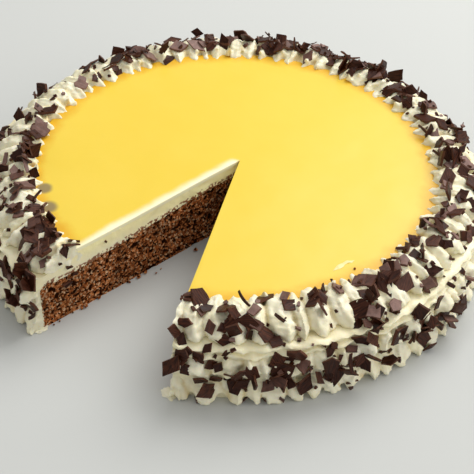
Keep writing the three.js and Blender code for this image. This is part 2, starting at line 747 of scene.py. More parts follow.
@dataclass(frozen=True)
class LayerCreamFinish(CreamFinish):
    """Spread cream, stained by the liqueur over it with some painted light, specked by the knife with sponge
    crumb.

    The yellowing, partly painted light, grows from one height to another and fades from one radius to
    another.
    The specks lie over the sponge, within their reach of its top and inside its edge.
    """

    name: str = "layer_cream"
    light: Colour = (0.91, 0.85, 0.61)
    shade: Colour = (0.87, 0.78, 0.49)
    # Liqueur stain and painted light: yellower and brighter towards the top of the cut cream.
    stain_and_light: Colour = (1.0, 0.90, 0.50)
    crumb: Colour = (0.26, 0.105, 0.045)
    sponge_edge: float = 27.0
    sponge_rise: float = 7.5
    sponge_radius: float = 130.0
    wave_scale: float = 160.0
    wave_height: float = 3.0
    stain_and_light_heights: Span = (29.0, 37.0)
    stain_and_light_radii: Span = (127.0, 118.0)
    speck_reach: Span = (2.6, 1.0)
    speck_radii: Span = (128.5, 127.5)
    speck_scale: float = 900.0
    speck_push: float = 0.55
    speck_chance: Span = (0.97, 1.05)

    def tinted(self, bench: SurfaceBench, cream: Socket) -> Socket:
        """Adds the yellowing and painted light below the liqueur, and the specks over the sponge.

        Args:
            bench: the finish's node maker.
            cream: the socket with the cream's own colour.

        Returns:
            The socket with the finished colour.
        """
        x, y, z = bench.node("ShaderNodeSeparateXYZ", Vector=bench.place).outputs
        wave = bench.times(bench.noise(bench.place, self.wave_scale), self.wave_height * MILLIMETRE)
        height = bench.minus(bench.plus(z, wave), self.wave_height / 2 * MILLIMETRE)
        radius = bench.maths("SQRT", bench.plus(bench.times(x, x), bench.times(y, y)))
        low, inward = bench.within(height, self.stain_and_light_heights), bench.within(radius, self.stain_and_light_radii)
        # Liqueur stain with painted light on the top of the cut cream.
        colour = bench.mixed(bench.times(low, inward), cream, self.stain_and_light)
        quarter = math.pi / 2 / (self.sponge_radius * MILLIMETRE)
        slope = bench.maths("COSINE", bench.times(radius, quarter))
        rise = bench.times(bench.times(slope, slope), self.sponge_rise * MILLIMETRE)
        above = bench.minus(height, bench.plus(rise, self.sponge_edge * MILLIMETRE))
        near = bench.within(above, self.speck_reach)
        chance = bench.cells(bench.place, self.speck_scale).outputs["Red"]
        pushed = bench.plus(chance, bench.times(near, self.speck_push))
        inside = bench.within(radius, self.speck_radii)
        speck = bench.times(bench.ranged(pushed, *self.speck_chance), inside)
        return bench.mixed(bench.times(speck, near), colour, self.crumb)


@dataclass(frozen=True)
class SmearFinish(CreamFinish):
    """Cream left on the floor, and cream on the liqueur that has taken up some of its yellow."""

    name: str = "smeared_cream"
    soaked: Colour = (0.95, 0.84, 0.34)
    soaked_heights: Span = (10.0, 20.0)

    def tinted(self, bench: SurfaceBench, cream: Socket) -> Socket:
        """Yellows the cream that lies on the liqueur, above these heights.

        Args:
            bench: the finish's node maker.
            cream: the socket with the cream's own colour.

        Returns:
            The socket with the finished colour.
        """
        height = bench.node("ShaderNodeSeparateXYZ", Vector=bench.place).outputs["Z"]
        return bench.mixed(bench.within(height, self.soaked_heights), cream, self.soaked)


@dataclass(frozen=True)
class SpongeFinish(Finish):
    """Moist chocolate and nut crumb: dark pits, brown grains and a few pale nut specks.

    Each pair of tones says between which random tones a cell turns into a grain, a pit or a nut speck.
    """

    name: str = "chocolate_sponge"
    roughness: float = 0.9
    specular: float = 0.05
    cloud_scale: float = 85.0
    cloud_spread: float = 0.44
    lump_scale: float = 900.0
    pore_share: float = 0.9
    relief_depth: float = 0.7
    # pit: dark crumb holes at random cells, and the painted shade in the crumb's hollows
    pit: Colour = (0.030, 0.0065, 0.0008)
    crumb: Colour = (0.41, 0.116, 0.031)
    grain: Colour = (0.96, 0.38, 0.14)
    nut: Colour = (1.0, 0.64, 0.38)
    cell_scale: float = 980.0
    grain_tones: Span = (0.35, 0.95)
    pit_tones: Span = (0.62, 0.8)
    nut_tones: Span = (0.81, 0.9)
    hollow_shade_relief: Span = (0.5, 0.12)

    def paint(self, bench: SurfaceBench) -> None:
        """Colours the crumb by cells, and paints shade into the low places of the mesh's own relief.

        Args:
            bench: the finish's node maker.
        """
        tone = bench.cells(bench.place, self.cell_scale).outputs
        brown = bench.mixed(bench.ranged(tone["Red"], *self.grain_tones), self.crumb, self.grain)
        dark = bench.mixed(bench.ranged(tone["Green"], *self.pit_tones), brown, self.pit)
        speck = bench.mixed(bench.ranged(tone["Blue"], *self.nut_tones), dark, self.nut)
        # Painted shade: the pit colour laid into the low places of the crumb's relief.
        painted_hollow_shade = bench.ranged(bench.attribute("relief"), *self.hollow_shade_relief)
        shaded = bench.mixed(painted_hollow_shade, speck, self.pit)
        bench.coloured(self.clouded(bench, shaded, self.pit))
        self.grained(bench)


@dataclass(frozen=True)
class LiqueurFinish(Finish):
    """Poured egg liqueur: smooth yellow, painted shade where it pools by the stars, painted highlight at one
    cut.

    The flakes sunk in it are each its place and its size across, and show as soft grey spots.
    """

    name: str = "egg_liqueur"
    roughness: float = 0.3
    specular: float = 0.3
    subsurface: float = 0.08
    subsurface_radius: Colour = (1.0, 0.7, 0.15)
    cloud_scale: float = 16.0
    cloud_spread: float = 0.5
    relief_depth: float = 0.6
    yellow: Colour = (0.83, 0.60, 0.062)
    milky: Colour = (0.86, 0.63, 0.085)
    # Painted shade: a deeper gold in the band by the rim stars, where the liqueur also pools deeper.
    golden_shade: Colour = (0.76, 0.39, 0.014)
    # pale: painted highlight on the rounded top edge of one cut
    pale: Colour = (0.96, 0.90, 0.62)
    sunk: Colour = (0.25, 0.19, 0.10)
    golden_shade_radii: Span = (103.5, 112.0)
    golden_shade_share: float = 0.8
    wobble_scale: float = 90.0
    wobble: float = 10.0
    ripple_scale: float = 26.0
    highlight_side: CutSide = CutSide.LEFT
    highlight_width: float = 4.6
    highlight_scale: float = 60.0
    highlight_fade: Span = (-0.75, 0.3)
    tip_fade: Span = (2.0, -2.0)
    sunk_share: float = 0.9
    sunk_ragged: float = 0.25
    sunk_fade: Span = (1.35, 0.75)
    cut: MissingSlice = MissingSlice()
    sunk_flakes: tuple[Triple, ...] = ((-72.8, -73.0, 5.0), (-61.6, -84.2, 5.4))

    def paint(self, bench: SurfaceBench) -> None:
        """Mixes the yellow, the painted shade by the rim, the sunk flakes and the painted highlight on the
        cut edge.

        Args:
            bench: the finish's node maker.
        """
        flat = bench.vector("MULTIPLY", bench.place, (1.0, 1.0, 0.0), "Vector")
        radius = bench.vector("LENGTH", flat, (0.0, 0.0, 0.0), "Value")
        wobble = bench.times(bench.noise(bench.place, self.wobble_scale), self.wobble * MILLIMETRE)
        reach = bench.plus(radius, wobble)
        # The band of painted shade, in deeper gold, by the rim stars.
        deep = bench.within(reach, self.golden_shade_radii)
        colour = self.clouded(bench, self.yellow, self.milky)
        colour = bench.mixed(bench.times(deep, self.golden_shade_share), colour, self.golden_shade)
        for x, y, size in self.sunk_flakes:
            away = bench.vector("DISTANCE", flat, (x * MILLIMETRE, y * MILLIMETRE, 0.0), "Value")
            ragged = bench.plus(away, bench.times(wobble, self.sunk_ragged))
            spot = bench.within(ragged, tuple(size * share for share in self.sunk_fade))
            colour = bench.mixed(bench.times(spot, self.sunk_share), colour, self.sunk)
        # Painted highlight along the cut edge.
        bench.coloured(bench.mixed(self.near_cut(bench), colour, self.pale))
        self.relief(bench, bench.noise(bench.place, self.ripple_scale, detail=2.0))

    def near_cut(self, bench: SurfaceBench) -> Socket:
        """Finds the wavy band of painted highlight along one side of the gap.

        Args:
            bench: the finish's node maker.

        Returns:
            A socket with 1 at the cut and 0 away from it, behind the tip and on the other side.
        """
        normal = self.cut.into_gap(self.highlight_side)
        width = self.highlight_width
        offset = bench.vector("DOT_PRODUCT", bench.place, tuple(normal), "Value")
        start = self.cut.apex.dot(normal) * MILLIMETRE
        wave = bench.times(bench.noise(bench.place, self.highlight_scale), width * MILLIMETRE)
        near = bench.minus(bench.plus(offset, wave), start)
        edge = bench.within(near, tuple(share * width for share in self.highlight_fade))
        parts = bench.node("ShaderNodeSeparateXYZ", Vector=bench.place).outputs
        across = bench.minus(parts["X"], self.cut.tip[0] * MILLIMETRE)
        sided = bench.ranged(bench.times(across, float(self.highlight_side.value)), -1e-4, 1e-4)
        ahead = bench.within(parts["Y"], self.tip_fade)
        return bench.times(edge, bench.times(sided, ahead))


@dataclass(frozen=True)
class ChocolateFinish(Finish):
    """Dark chocolate, shaved: a satin skin with scraper marks, each flake a little different.

    The streaks share out the lighter brown and roughness, and the flake's tone shares out the painted sheen.
    Each of the three is a range of the one and the range that it gives.
    """

    name: str = "dark_chocolate"
    roughness: float = 0.42
    specular: float = 0.16
    cloud_scale: float = 320.0
    cloud_spread: float = 0.3
    relief_depth: float = 0.25
    dark: Colour = (0.013, 0.0019, 0.0003)
    # light: the lighter brown, shared out by the tone, which holds painted light on flakes that face up
    light: Colour = (0.122, 0.035, 0.015)
    # Painted sheen: a mauve highlight on the flakes with the highest tone, mostly those that face up.
    painted_sheen: Colour = (0.30, 0.188, 0.162)
    # rim: painted highlight on the flakes' edge faces
    rim: Colour = (0.15, 0.06, 0.032)
    edge_highlight_share: float = 0.55
    tone_from: float = 0.25
    streak_scale: float = 1.6
    streak_stretch: Triple = (0.12, 1.0, 1.0)
    streak_share: Quad = (0.35, 0.62, 0.1, 1.0)
    painted_sheen_share: Quad = (0.42, 0.92, 0.0, 0.92)
    sheen: Quad = (0.3, 0.7, 0.3, 0.52)

    def paint(self, bench: SurfaceBench) -> None:
        """Tones each flake, marks it with streaks and paints a highlight on its edge faces.

        Args:
            bench: the finish's node maker.
        """
        along = bench.node("ShaderNodeUVMap", uv_map="flake_uv").outputs["UV"]
        stretched = bench.node("ShaderNodeMapping", Vector=along, Scale=self.streak_stretch)
        streaks = bench.noise(stretched.outputs["Vector"], self.streak_scale, detail=4.0)
        # The tone is random, with painted light: higher on flakes that face up.
        tone = bench.attribute("tone")
        streaked = bench.ranged(streaks, *self.streak_share)
        share = bench.times(bench.plus(tone, self.tone_from), streaked)
        colour = bench.mixed(bench.maths("MULTIPLY", share, 1.0, clamp=True), self.dark, self.light)
        # Painted sheen on the flakes with a high tone.
        colour = bench.mixed(bench.ranged(tone, *self.painted_sheen_share), colour, self.painted_sheen)
        # Painted highlight on the edge faces.
        broken = bench.times(bench.attribute("rim"), self.edge_highlight_share)
        colour = bench.mixed(broken, colour, self.rim)
        bench.coloured(self.clouded(bench, colour, self.dark))
        bench.feed(bench.shader.inputs["Roughness"], bench.ranged(streaks, *self.sheen))
        self.relief(bench, streaks)


@dataclass(frozen=True)
class FloorFinish(Finish):
    """A plain pale floor."""

    name: str = "pale_floor"
    roughness: float = 0.7
    specular: float = 0.2
    pale: Colour = (0.56, 0.573, 0.56)

    def paint(self, bench: SurfaceBench) -> None:
        """One pale colour."""
        bench.coloured(self.pale)


# ---- The cake's pieces ----


def rippled(place: Vector, layers: Pairs) -> float:
    """The sum of some noises at a place.

    Args:
        place: the point to read them at.
        layers: each noise's height and its waves for each millimetre.

    Returns:
        The sum.
    """
    return sum(height * noise.noise(place * scale) for height, scale in layers)


@dataclass
class CakePiece:
    """What every piece of the cake shares: its sizes, its gap, and how it is handed to the frame."""

    sizes: CakeSizes
    gap: MissingSlice
    material: Material
    name: str = "piece"
    slot: str = "cream"
    node: str = ""
    seed: int = 3
    rng: random.Random = field(init=False)

    def __post_init__(self) -> None:
        """Starts the piece's own random numbers."""
        self.rng = random.Random(self.seed)

    def make(self) -> Object:
        """Builds the piece's mesh in millimetres."""
        raise NotImplementedError

    def build(self, smooth_angle: float = 40.0) -> Object:
        """Makes the piece, brings it to metres, dresses it and hands it to the frame.

        Args:
            smooth_angle: edges sharper than this, in degrees, stay sharp.

        Returns:
            The finished object.
        """
        piece = self.make()
        mesh = piece.data
        mesh.transform(Matrix.Scale(MILLIMETRE, 4))
        mesh.materials.clear()
        mesh.materials.append(self.material)
        mesh.polygons.foreach_set("use_smooth", [True] * len(mesh.polygons))
        mesh.polygons.foreach_set("material_index", [0] * len(mesh.polygons))
        mesh.set_sharp_from_angle(angle=math.radians(smooth_angle))
        mesh.update()
        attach(piece, BODY)
        if self.node:
            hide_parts(self.node)
        mesh.calc_loop_triangles()
        log.info("%s: %d triangles", self.name, len(mesh.loop_triangles))
        return piece


@dataclass
class LayeredPiece(CakePiece):
    """A piece that the knife went through, with its cut faces divided into a grid that can carry relief."""

    pitch: float = 1.2
    facing: float = 0.999
    nearness: float = 0.05

    def cut_faces(self, bm: BMesh, side: CutSide) -> list[BMFace]:
        """The faces of a body that lie in one cut.

        Args:
            bm: the body, already cut.
            side: which wall of the gap.

        Returns:
            The faces that face into the gap and lie in the cut's plane.
        """
        normal = self.gap.into_gap(side)
        facing = [face for face in bm.faces if face.normal.dot(normal) > self.facing]
        depths = (abs(self.gap.depth(face.calc_center_median(), side)) for face in facing)
        return [face for face, depth in zip(facing, depths) if depth < self.nearness]

    def grid_cut(self, bm: BMesh, side: CutSide) -> None:
        """Divides the faces of one cut into a grid.

        Args:
            bm: the body, already cut.
            side: which wall of the gap.
        """
        tip = self.gap.apex
        bmesh.ops.triangulate(bm, faces=self.cut_faces(bm, side))
        for axis in (self.gap.along(side), Vector((0, 0, 1))):
            faces = self.cut_faces(bm, side)
            spans = [(vert.co - tip).dot(axis) for face in faces for vert in face.verts]
            start, end = min(spans), max(spans)
            for k in range(1, int((end - start) / self.pitch) + 1):
                middle = tip + axis * (start + k * self.pitch)
                bmesh.ops.bisect_plane(bm, geom=parts_of(faces), plane_co=middle, plane_no=axis)
                faces = self.cut_faces(bm, side)

    def gridded(self, bm: BMesh) -> list[tuple[Vector, set[BMVert]]]:
        """Divides both cuts into grids.

        Args:
            bm: the body, already cut.

        Returns:
            For each cut the way into the gap and the corners that lie in it.
        """
        for side in CutSide:
            self.grid_cut(bm, side)
        return [
            (self.gap.into_gap(side), {vert for face in self.cut_faces(bm, side) for vert in face.verts})
            for side in CutSide
        ]


@dataclass
class SpongeCrumb(LayeredPiece):
    """The dark sponge, domed in the middle, with real crumb on its two cut faces.

    The crumb is rounded cells, longer waves and some holes, and it fades towards the flat underside.
    """

    name: str = "sponge_crumb"
    slot: str = "sponge"
    node: str = "sponge"
    steps: int = 128
    rings: int = 12
    corner: float = 2.0
    pitch: float = 0.6
    crumb_depth: float = 0.95
    cell_scale: float = 0.72
    cell_height: float = 1.4
    cell_level: float = 0.42
    waves: Pairs = ((0.35, 0.12), (0.3, 1.6))
    hole_scale: float = 0.34
    hole_level: float = 0.32
    hole_depth: float = 5.0
    fade: float = 3.0

    def make(self) -> Object:
        """Spins the sponge, cuts the gap out and roughens the cut faces.

        Returns:
            The sponge's object.
        """
        radius, height = self.sizes.sponge_radius, self.sizes.sponge_height
        radii = [radius * k / self.rings for k in range(self.rings)] + [radius - self.corner]
        shoulder = [(radius, height(radius) - self.corner), (radius, 0.0), (0.0, 0.0)]
        body = spun([(r, height(r)) for r in radii] + shoulder, self.steps)
        piece = self.gap.cut_from(linked(body, self.name))
        with reshaped(piece, weld=WELD) as bm:
            # The relief is kept for the painted shade in the crumb's hollows.
            relief = bm.verts.layers.float.new("relief")
            for vert in bm.verts:
                vert[relief] = 0.5
            for into_gap, verts in self.gridded(bm):
                for vert in verts:
                    raised = self.crumb(vert.co)
                    vert[relief] = 0.5 + raised / (2 * self.crumb_depth)
                    vert.co += into_gap * raised
        return piece

    def crumb(self, point: Vector) -> float:
        """How far the torn crumb stands out at a point.

        Args:
            point: a point of the cut.

        Returns:
            The height of the relief in millimetres.
        """
        cell = noise.voronoi(point * self.cell_scale)[0][0]
        hole = max(noise.noise(point * self.hole_scale + Vector((9, 2, 4))) - self.hole_level, 0.0)
        raised = self.cell_height * (self.cell_level - cell) + rippled(point, self.waves)
        raised -= self.hole_depth * hole
        return self.crumb_depth * raised * min(0.25 + point.z / self.fade, 1.0)


@dataclass
class CutCream(LayeredPiece):
    """Cream that the knife went through: its cut faces are smooth, with a little drag."""

    proud: float = 0.0
    torn: float = 0.3
    drags: Pairs = ((0.30, 0.09), (0.14, 0.45))
    torn_scales: Span = (0.17, 0.3)

    def soften_cuts(self, bm: BMesh) -> None:
        """Gives both cut faces the knife's slight waves, torn where the cream clung to it.

        Args:
            bm: the body, already cut.
        """
        ridge_scale, lump_scale = self.torn_scales
        for into_gap, verts in self.gridded(bm):
            for vert in verts:
                ridge = 2 * abs(noise.noise(vert.co * ridge_scale))
                clung = self.torn * (0.5 - ridge + noise.noise(vert.co * lump_scale))
                moved = self.proud + rippled(vert.co, self.drags) + clung + self.lean(vert.co)
                vert.co += into_gap * moved

    def lean(self, point: Vector) -> float:
        """How far the cut leans out at a point."""
        return 0.0


@dataclass
class CreamLayer(CutCream):
    """The cream spread over the sponge, with the knife's ledges showing between the two piped rows.

    The shelf is the section of its side, each point a distance out from the cream's radius and a height.
    """

    name: str = "cream_layer"
    node: str = "cream_coat"
    proud: float = -0.30
    steps: int = 480
    rings: int = 12
    seat_rings: int = 8
    seat_lift: float = 0.15
    wall: float = 3.6
    wall_drop: float = 2.4
    overlap: float = 0.5
    sagging: float = 1.0
    sag_inset: float = 5.0
    sag_width: float = 12.0
    sag_power: float = 1.5
    spread_above: float = 20.0
    shifts: Pairs = ((0.6, 0.05), (2.0, 0.16), (1.1, 0.37))
    lifts: Pairs = ((1.5, 7.0), (1.8, 21.0))
    shelf: Pairs = (
        (-21.0, 36.6), (-13.0, 36.0), (-10.0, 33.8), (-6.0, 33.2), (-2.0, 33.4), (0.2, 33.2), (1.2, 32.4),
        (1.0, 31.4), (-0.6, 30.6), (-0.2, 29.8), (1.4, 29.2), (1.7, 28.2), (0.4, 26.8), (0.0, 25.0),
        (0.0, 24.0),
    )

    def make(self) -> Object:
        """Spins the layer as a lid with a side wall, spreads its side unevenly and cuts the gap out.

        Returns:
            The layer's object.
        """
        sizes, radius = self.sizes, self.sizes.coat_radius
        seats = [sizes.liqueur_edge * k / self.seat_rings for k in range(self.seat_rings + 1)]
        seat = [(r, sizes.liqueur_height(r) - sizes.liqueur_thickness + self.seat_lift) for r in seats]
        side = [(radius + inset, height) for inset, height in self.shelf] + [(radius, 0.0)]
        inner = radius - self.wall
        wall = [(inner, 0.0), (inner, sizes.sponge_height(inner) - self.wall_drop)]
        radii = [sizes.sponge_radius * k / self.rings for k in range(self.rings)]
        under = [(r, sizes.sponge_height(r) - self.overlap) for r in radii]
        body = spun(seat + side + wall + under[::-1], self.steps)
        for vert in body.verts:
            if vert.co.xy.length > inner + 0.1 and vert.co.z > self.spread_above:
                self.spread(vert)
        piece = self.gap.cut_from(linked(body, self.name))
        with reshaped(piece, weld=WELD) as bm:
            self.soften_cuts(bm)
        return piece

    def lean(self, point: Vector) -> float:
        """Brings the cut cream out towards the sponge, so that it faces up a little.

        Args:
            point: a point of the cut.

        Returns:
            How far it leans out there.
        """
        radius = point.xy.length
        share = share_between(self.sizes.sponge_height(radius), self.sizes.liqueur_edge_top, point.z)
        inside = share_between(0.0, self.sag_width, self.sizes.sponge_radius - self.sag_inset - radius)
        return self.sagging * inside * (1 - share) ** self.sag_power

    def spread(self, vert: BMVert) -> None:
        """Moves one corner of the side by the ledges and waves of the spreading knife.

        Args:
            vert: the corner.
        """
        outward = Vector((vert.co.x, vert.co.y, 0.0)).normalized()
        vert.co += outward * rippled(vert.co, self.shifts)
        vert.co.z += rippled(outward, self.lifts)


@dataclass
class LiqueurPool(CakePiece):
    """The poured liqueur: a thin level layer that runs under the rim stars' teeth, rounded at its cuts."""

    name: str = "liqueur_pool"
    slot: str = "egg_liqueur"
    node: str = "egg_liqueur"
    steps: int = 160
    rings: int = 26
    reach: float = 109.0
    rounded: float = 1.9
    waves: Pairs = ((0.10, 0.035),)
    brink_depth: float = 0.8

    def make(self) -> Object:
        """Spins the layer, cuts the gap out and rounds the cut's top edge.

        Returns:
            The layer's object.
        """
        radii = [self.reach * k / self.rings for k in range(self.rings + 1)]
        top = [(r, self.sizes.liqueur_height(r)) for r in radii]
        under = [(r, z - self.sizes.liqueur_thickness) for r, z in top[::5] + top[-1:]]
        body = spun(top + under[::-1], self.steps)
        for vert in body.verts:
            vert.co.z += rippled(vert.co, self.waves)
        piece = self.gap.cut_from(linked(body, self.name))
        with reshaped(piece, weld=WELD) as bm:
            for side in CutSide:
                bmesh.ops.bevel(
                    bm,
                    geom=[edge for edge in bm.edges if self.on_brink(edge, side)],
                    offset=self.rounded,
                    segments=4,
                    affect="EDGES",
                    profile=0.5,
                    material=-1,
                    clamp_overlap=True,
                )
        return piece

    def on_brink(self, edge: BMEdge, side: CutSide) -> bool:
        """Whether an edge is the top edge of one cut.

        Args:
            edge: an edge of the layer.
            side: which wall of the gap.

        Returns:
            True where both its ends lie in the cut's plane, in front of the tip and at the top.
        """
        level = self.sizes.liqueur_edge_top - self.brink_depth
        tip_y = self.gap.tip[1] + 1
        return all(
            abs(self.gap.depth(vert.co, side)) < 0.02 and vert.co.z > level and vert.co.y < tip_y
            for vert in edge.verts
        )


@dataclass
class PipedRow(CutCream):
    """A row of cream stars piped round the cake, on a bead that joins them, all drawn into pleats.

    An outline gives a star's height and radius as shares of its own. The bead is its section as points of
    radius and height, each with how far a valley between two pleats lies inwards of it and above it. A pair
    of numbers for the peaks is the range that each is drawn from.
    """

    count: int = 30
    ring_radius: float = 115.2
    base_height: float = 32.8
    half_width: float = 16.0
    height: float = 13.4
    jitter: float = 0.05
    around_jitter: float = 0.12
    ring_jitter: float = 8.0
    tilt_jitter: float = 6.0
    outline: Pairs = ()
    bead: tuple[Quad, ...] = ()
    star_levels: int = 14
    star_steps: int = 64
    pleat_count: int = 80
    pleat_lean: float = 0.1
    pleat_power: float = 0.7
    pleat_seed: float = 0.0
    tooth_power: float = 1.3
    tooth_radius: float = 115.0
    tooth_reach: float = 5.0
    drift: float = 1.5
    drift_scale: float = 9.0
    wander: float = 0.9
    wander_scale: float = 24.0
    wander_rise: float = 0.11
    strength: float = 0.9
    strength_change: float = 0.7
    strength_scale: float = 19.0
    strength_rise: float = 0.09
    ragged: float = 1.2
    ragged_scale: float = 0.11
    ragged_above: float = 12.0
    peaks: int = 0
    peak_lengths: Span = (3.5, 6.5)
    peak_widths: Span = (1.8, 2.8)
    peak_tip: float = 0.35
    peak_radii: Span = (105.5, 112.0)
    peak_heights: Span = (42.0, 43.6)
    peak_rolls: Span = (-40.0, 40.0)
    peak_pitches: Span = (-65.0, 15.0)
    backed_by: float = 0.0
    voxel: float = 0.9
    smoothing: float = 0.35
    torn: float = 1.3
    lumps: float = 1.0
    lump_scale: float = 0.28
    creases: float = 0.35
    crease_scales: Span = (0.22, 0.75)
    fine: Pairs = ((0.15, 0.6),)
    grooves: float = 0.8
    groove_scale: float = 0.13
    plain_cut: float = 2.0
    gap_inset: float = 3.0
    wall_margin: float = 2.5
    front: float = -20.0

    def uneven(self, index: int, which: int) -> float:
        """From -1 to 1, the same for a star as in the frame's own row."""
        return 2 * unevenness(self.seed + 7 * index + which) - 1

    def star(self, index: int) -> BMesh:
        """One dollop in its place.

        Args:
            index: the star's number round the cake.

        Returns:
            A closed mesh in the cake's own frame.
        """
        width = self.half_width * (1 + self.jitter * self.uneven(index, 0))
        height = self.height * (1 + self.jitter * self.uneven(index, 1))
        levels = [k / self.star_levels for k in range(self.star_levels + 1)]
        side = [(interpolated(self.outline, z) * width, z * height) for z in levels]
        bm = spun([(0.0, 0.0)] + side, self.star_steps)
        around = -90 + 360 * (index + 0.5 + self.around_jitter * self.uneven(index, 2)) / self.count
        ring = self.ring_radius + self.jitter * self.ring_jitter * self.uneven(index, 4)
        shift = Matrix.Translation((ring, 0, self.base_height))
        place = turn(around, "Z") @ shift @ turn(self.tilt_jitter * self.uneven(index, 6), "X")
        bmesh.ops.transform(bm, matrix=place, verts=bm.verts)
        return bm

    def peak(self) -> BMesh:
        """One small peak that the nozzle left on the inner crest.

        Returns:
            A closed mesh in the cake's own frame.
        """
        bm = bmesh.new()
        length = self.rng.uniform(*self.peak_lengths)
        width = self.rng.uniform(*self.peak_widths)
        bmesh.ops.create_cone(
            bm, cap_ends=True, segments=10, radius1=width, radius2=self.peak_tip, depth=length
        )
        around = Matrix.Rotation(self.rng.uniform(0, math.tau), 4, "Z")
        radius, height = self.rng.uniform(*self.peak_radii), self.rng.uniform(*self.peak_heights)
        roll, pitch = self.rng.uniform(*self.peak_rolls), self.rng.uniform(*self.peak_pitches)
        place = around @ Matrix.Translation((radius, 0, height)) @ turn(roll, "X") @ turn(pitch, "Y")
        bmesh.ops.transform(bm, matrix=place, verts=bm.verts)
        return bm

    def circle(self, angle: float) -> Vector:
        """A place on the unit circle for an angle, at the height of the row's own noise."""
        return Vector((math.cos(angle), math.sin(angle), self.pleat_seed))

    def phase(self, angle: float, height: float) -> float:
        """How far round the cake a place is, as a wave that turns by pi from pleat to pleat.

        Args:
            angle: the place round the cake, in radians.
            height: its height, which leans the pleats.

        Returns:
            The wave's angle in radians.
        """
        circle = self.circle(angle)
        leaning = Vector((0, 0, height * self.wander_rise))
        drift = self.drift * noise.noise(circle * self.drift_scale)
        drift += self.wander * noise.noise(circle * self.wander_scale + leaning)
        return self.pleat_count * angle / 2 + drift + self.pleat_lean * height

    def valley(self, place: Vector) -> float:
        """How deep a place lies between the pleats, which are plump outside and narrow towards the liqueur.

        Args:
            place: a point of the row.

        Returns:
            0 on a crest and up to 1 in a valley.
        """
        angle = math.atan2(place.y, place.x)
        at = self.circle(angle) * self.strength_scale + Vector((5, 5, place.z * self.strength_rise))
        strength = self.strength + self.strength_change * noise.noise(at)
        inner = share_between(0.0, self.tooth_reach, self.tooth_radius - place.xy.length)
        power = self.pleat_power + inner * (self.tooth_power - self.pleat_power)
        return min(strength, 1.0) * (1 - abs(math.cos(self.phase(angle, place.z))) ** power)

    def pleat(self, bm: BMesh) -> None:
        """Draws a body in the row into the pleats that run all the way round.

        Args:
            bm: the bead or a star.
        """
        for vert in bm.verts:
            radius = vert.co.xy.length
            inward = rise = total = 0.0
            for r, z, point_inward, point_rise in self.bead:
                weight = 1 / ((r - radius) ** 2 + (z - vert.co.z) ** 2 + 0.05) ** 2
                inward += weight * point_inward
                rise += weight * point_rise
                total += weight
            depth = self.valley(vert.co)
            ragged = self.ragged * min(vert.co.z / self.ragged_above, 1)
            around = Vector((vert.co.x, vert.co.y, 4.0 * vert.co.z)) * self.ragged_scale
            reach = max(radius + depth * inward / total + ragged * noise.noise(around), self.backed_by)
            lift = ragged * noise.noise(Vector((around.x, around.y, 8.0)))
            height = vert.co.z + depth * rise / total + lift
            vert.co = Vector((vert.co.x * reach / radius, vert.co.y * reach / radius, height))

    def make(self) -> Object:
        """Joins the stars, the bead and the peaks into one skin and gives it its lumps and creases.

        Returns:
            The row's object.
        """
        section = [(r, z) for r, z, _, _ in self.bead]
        bodies = [spun(section + [section[0]], self.pleat_count * 10)]
        bodies += [self.star(index) for index in range(self.count)]
        for body in bodies:
            self.pleat(body)
        bodies += [self.peak() for _ in range(self.peaks)]
        whole = bmesh.new()
        for body in bodies:
            added(body, whole)
        piece = linked(whole, self.name)
        applied(piece, "REMESH", mode="VOXEL", voxel_size=self.voxel, adaptivity=0.0)
        with reshaped(piece) as bm:
            axes = {f"use_axis_{axis}": True for axis in "xyz"}
            bmesh.ops.smooth_vert(bm, verts=bm.verts, factor=self.smoothing, **axes)
            bm.normal_update()
            moves = [(vert, vert.normal * self.relief(vert.co)) for vert in bm.verts]
            for vert, move in moves:
                vert.co += move
                vert.co.z = max(vert.co.z, 0.0)
            self.open_gap(bm)
            self.soften_cuts(bm)
            # How deep each place lies between the pleats, kept for the cream's painted shade there; none at
            # the cuts.
            valley_shade = bm.verts.layers.float.new("valley_shade")
            for vert in bm.verts:
                near_cut = any(abs(self.gap.depth(vert.co, side)) < self.plain_cut for side in CutSide)
                vert[valley_shade] = 0.0 if near_cut else self.valley(vert.co)
        return piece

    def relief(self, point: Vector) -> float:
        """How far the cream's skin stands out: soft lumps, and fine creases and grooves round the cake.

        Args:
            point: a point of the skin.

        Returns:
            The height of the relief in millimetres.
        """
        flat, steep = self.crease_scales
        crease = 1 - 2 * abs(noise.noise(Vector((point.x * flat, point.y * flat, point.z * steep))))
        tooth = 1 - abs(math.cos(3 * self.phase(math.atan2(point.y, point.x), point.z)))
        grooved = 0.5 + noise.noise(point * self.groove_scale)
        soft = self.lumps * noise.noise(point * self.lump_scale) + self.creases * (crease - 0.6)
        return soft + rippled(point, self.fine) - self.grooves * tooth * grooved

    def open_gap(self, bm: BMesh) -> None:
        """Takes the missing slice out of the ring and closes its two ends.

        Args:
            bm: the whole ring.
        """
        inside = [face for face in bm.faces if self.gap.holds(face.calc_center_median(), -self.gap_inset)]
        bmesh.ops.delete(bm, geom=inside, context="FACES")
        for side in CutSide:
            faces = [face for face in bm.faces if self.beside(face.calc_center_median(), side)]
            bmesh.ops.bisect_plane(
                bm,
                geom=parts_of(faces),
                plane_co=self.gap.apex,
                plane_no=self.gap.into_gap(side),
                clear_outer=True,
            )
        bmesh.ops.holes_fill(bm, edges=[edge for edge in bm.edges if edge.is_boundary], sides=0)
        bmesh.ops.recalc_face_normals(bm, faces=bm.faces)

    def beside(self, point: Vector, side: CutSide) -> bool:
        """Whether a point lies in front of the tip, on one side of the gap, at its wall or inside."""
        sided = (point.x - self.gap.tip[0]) * side.value > 0
        return point.y < self.front and sided and self.gap.depth(point, side) > -self.wall_margin


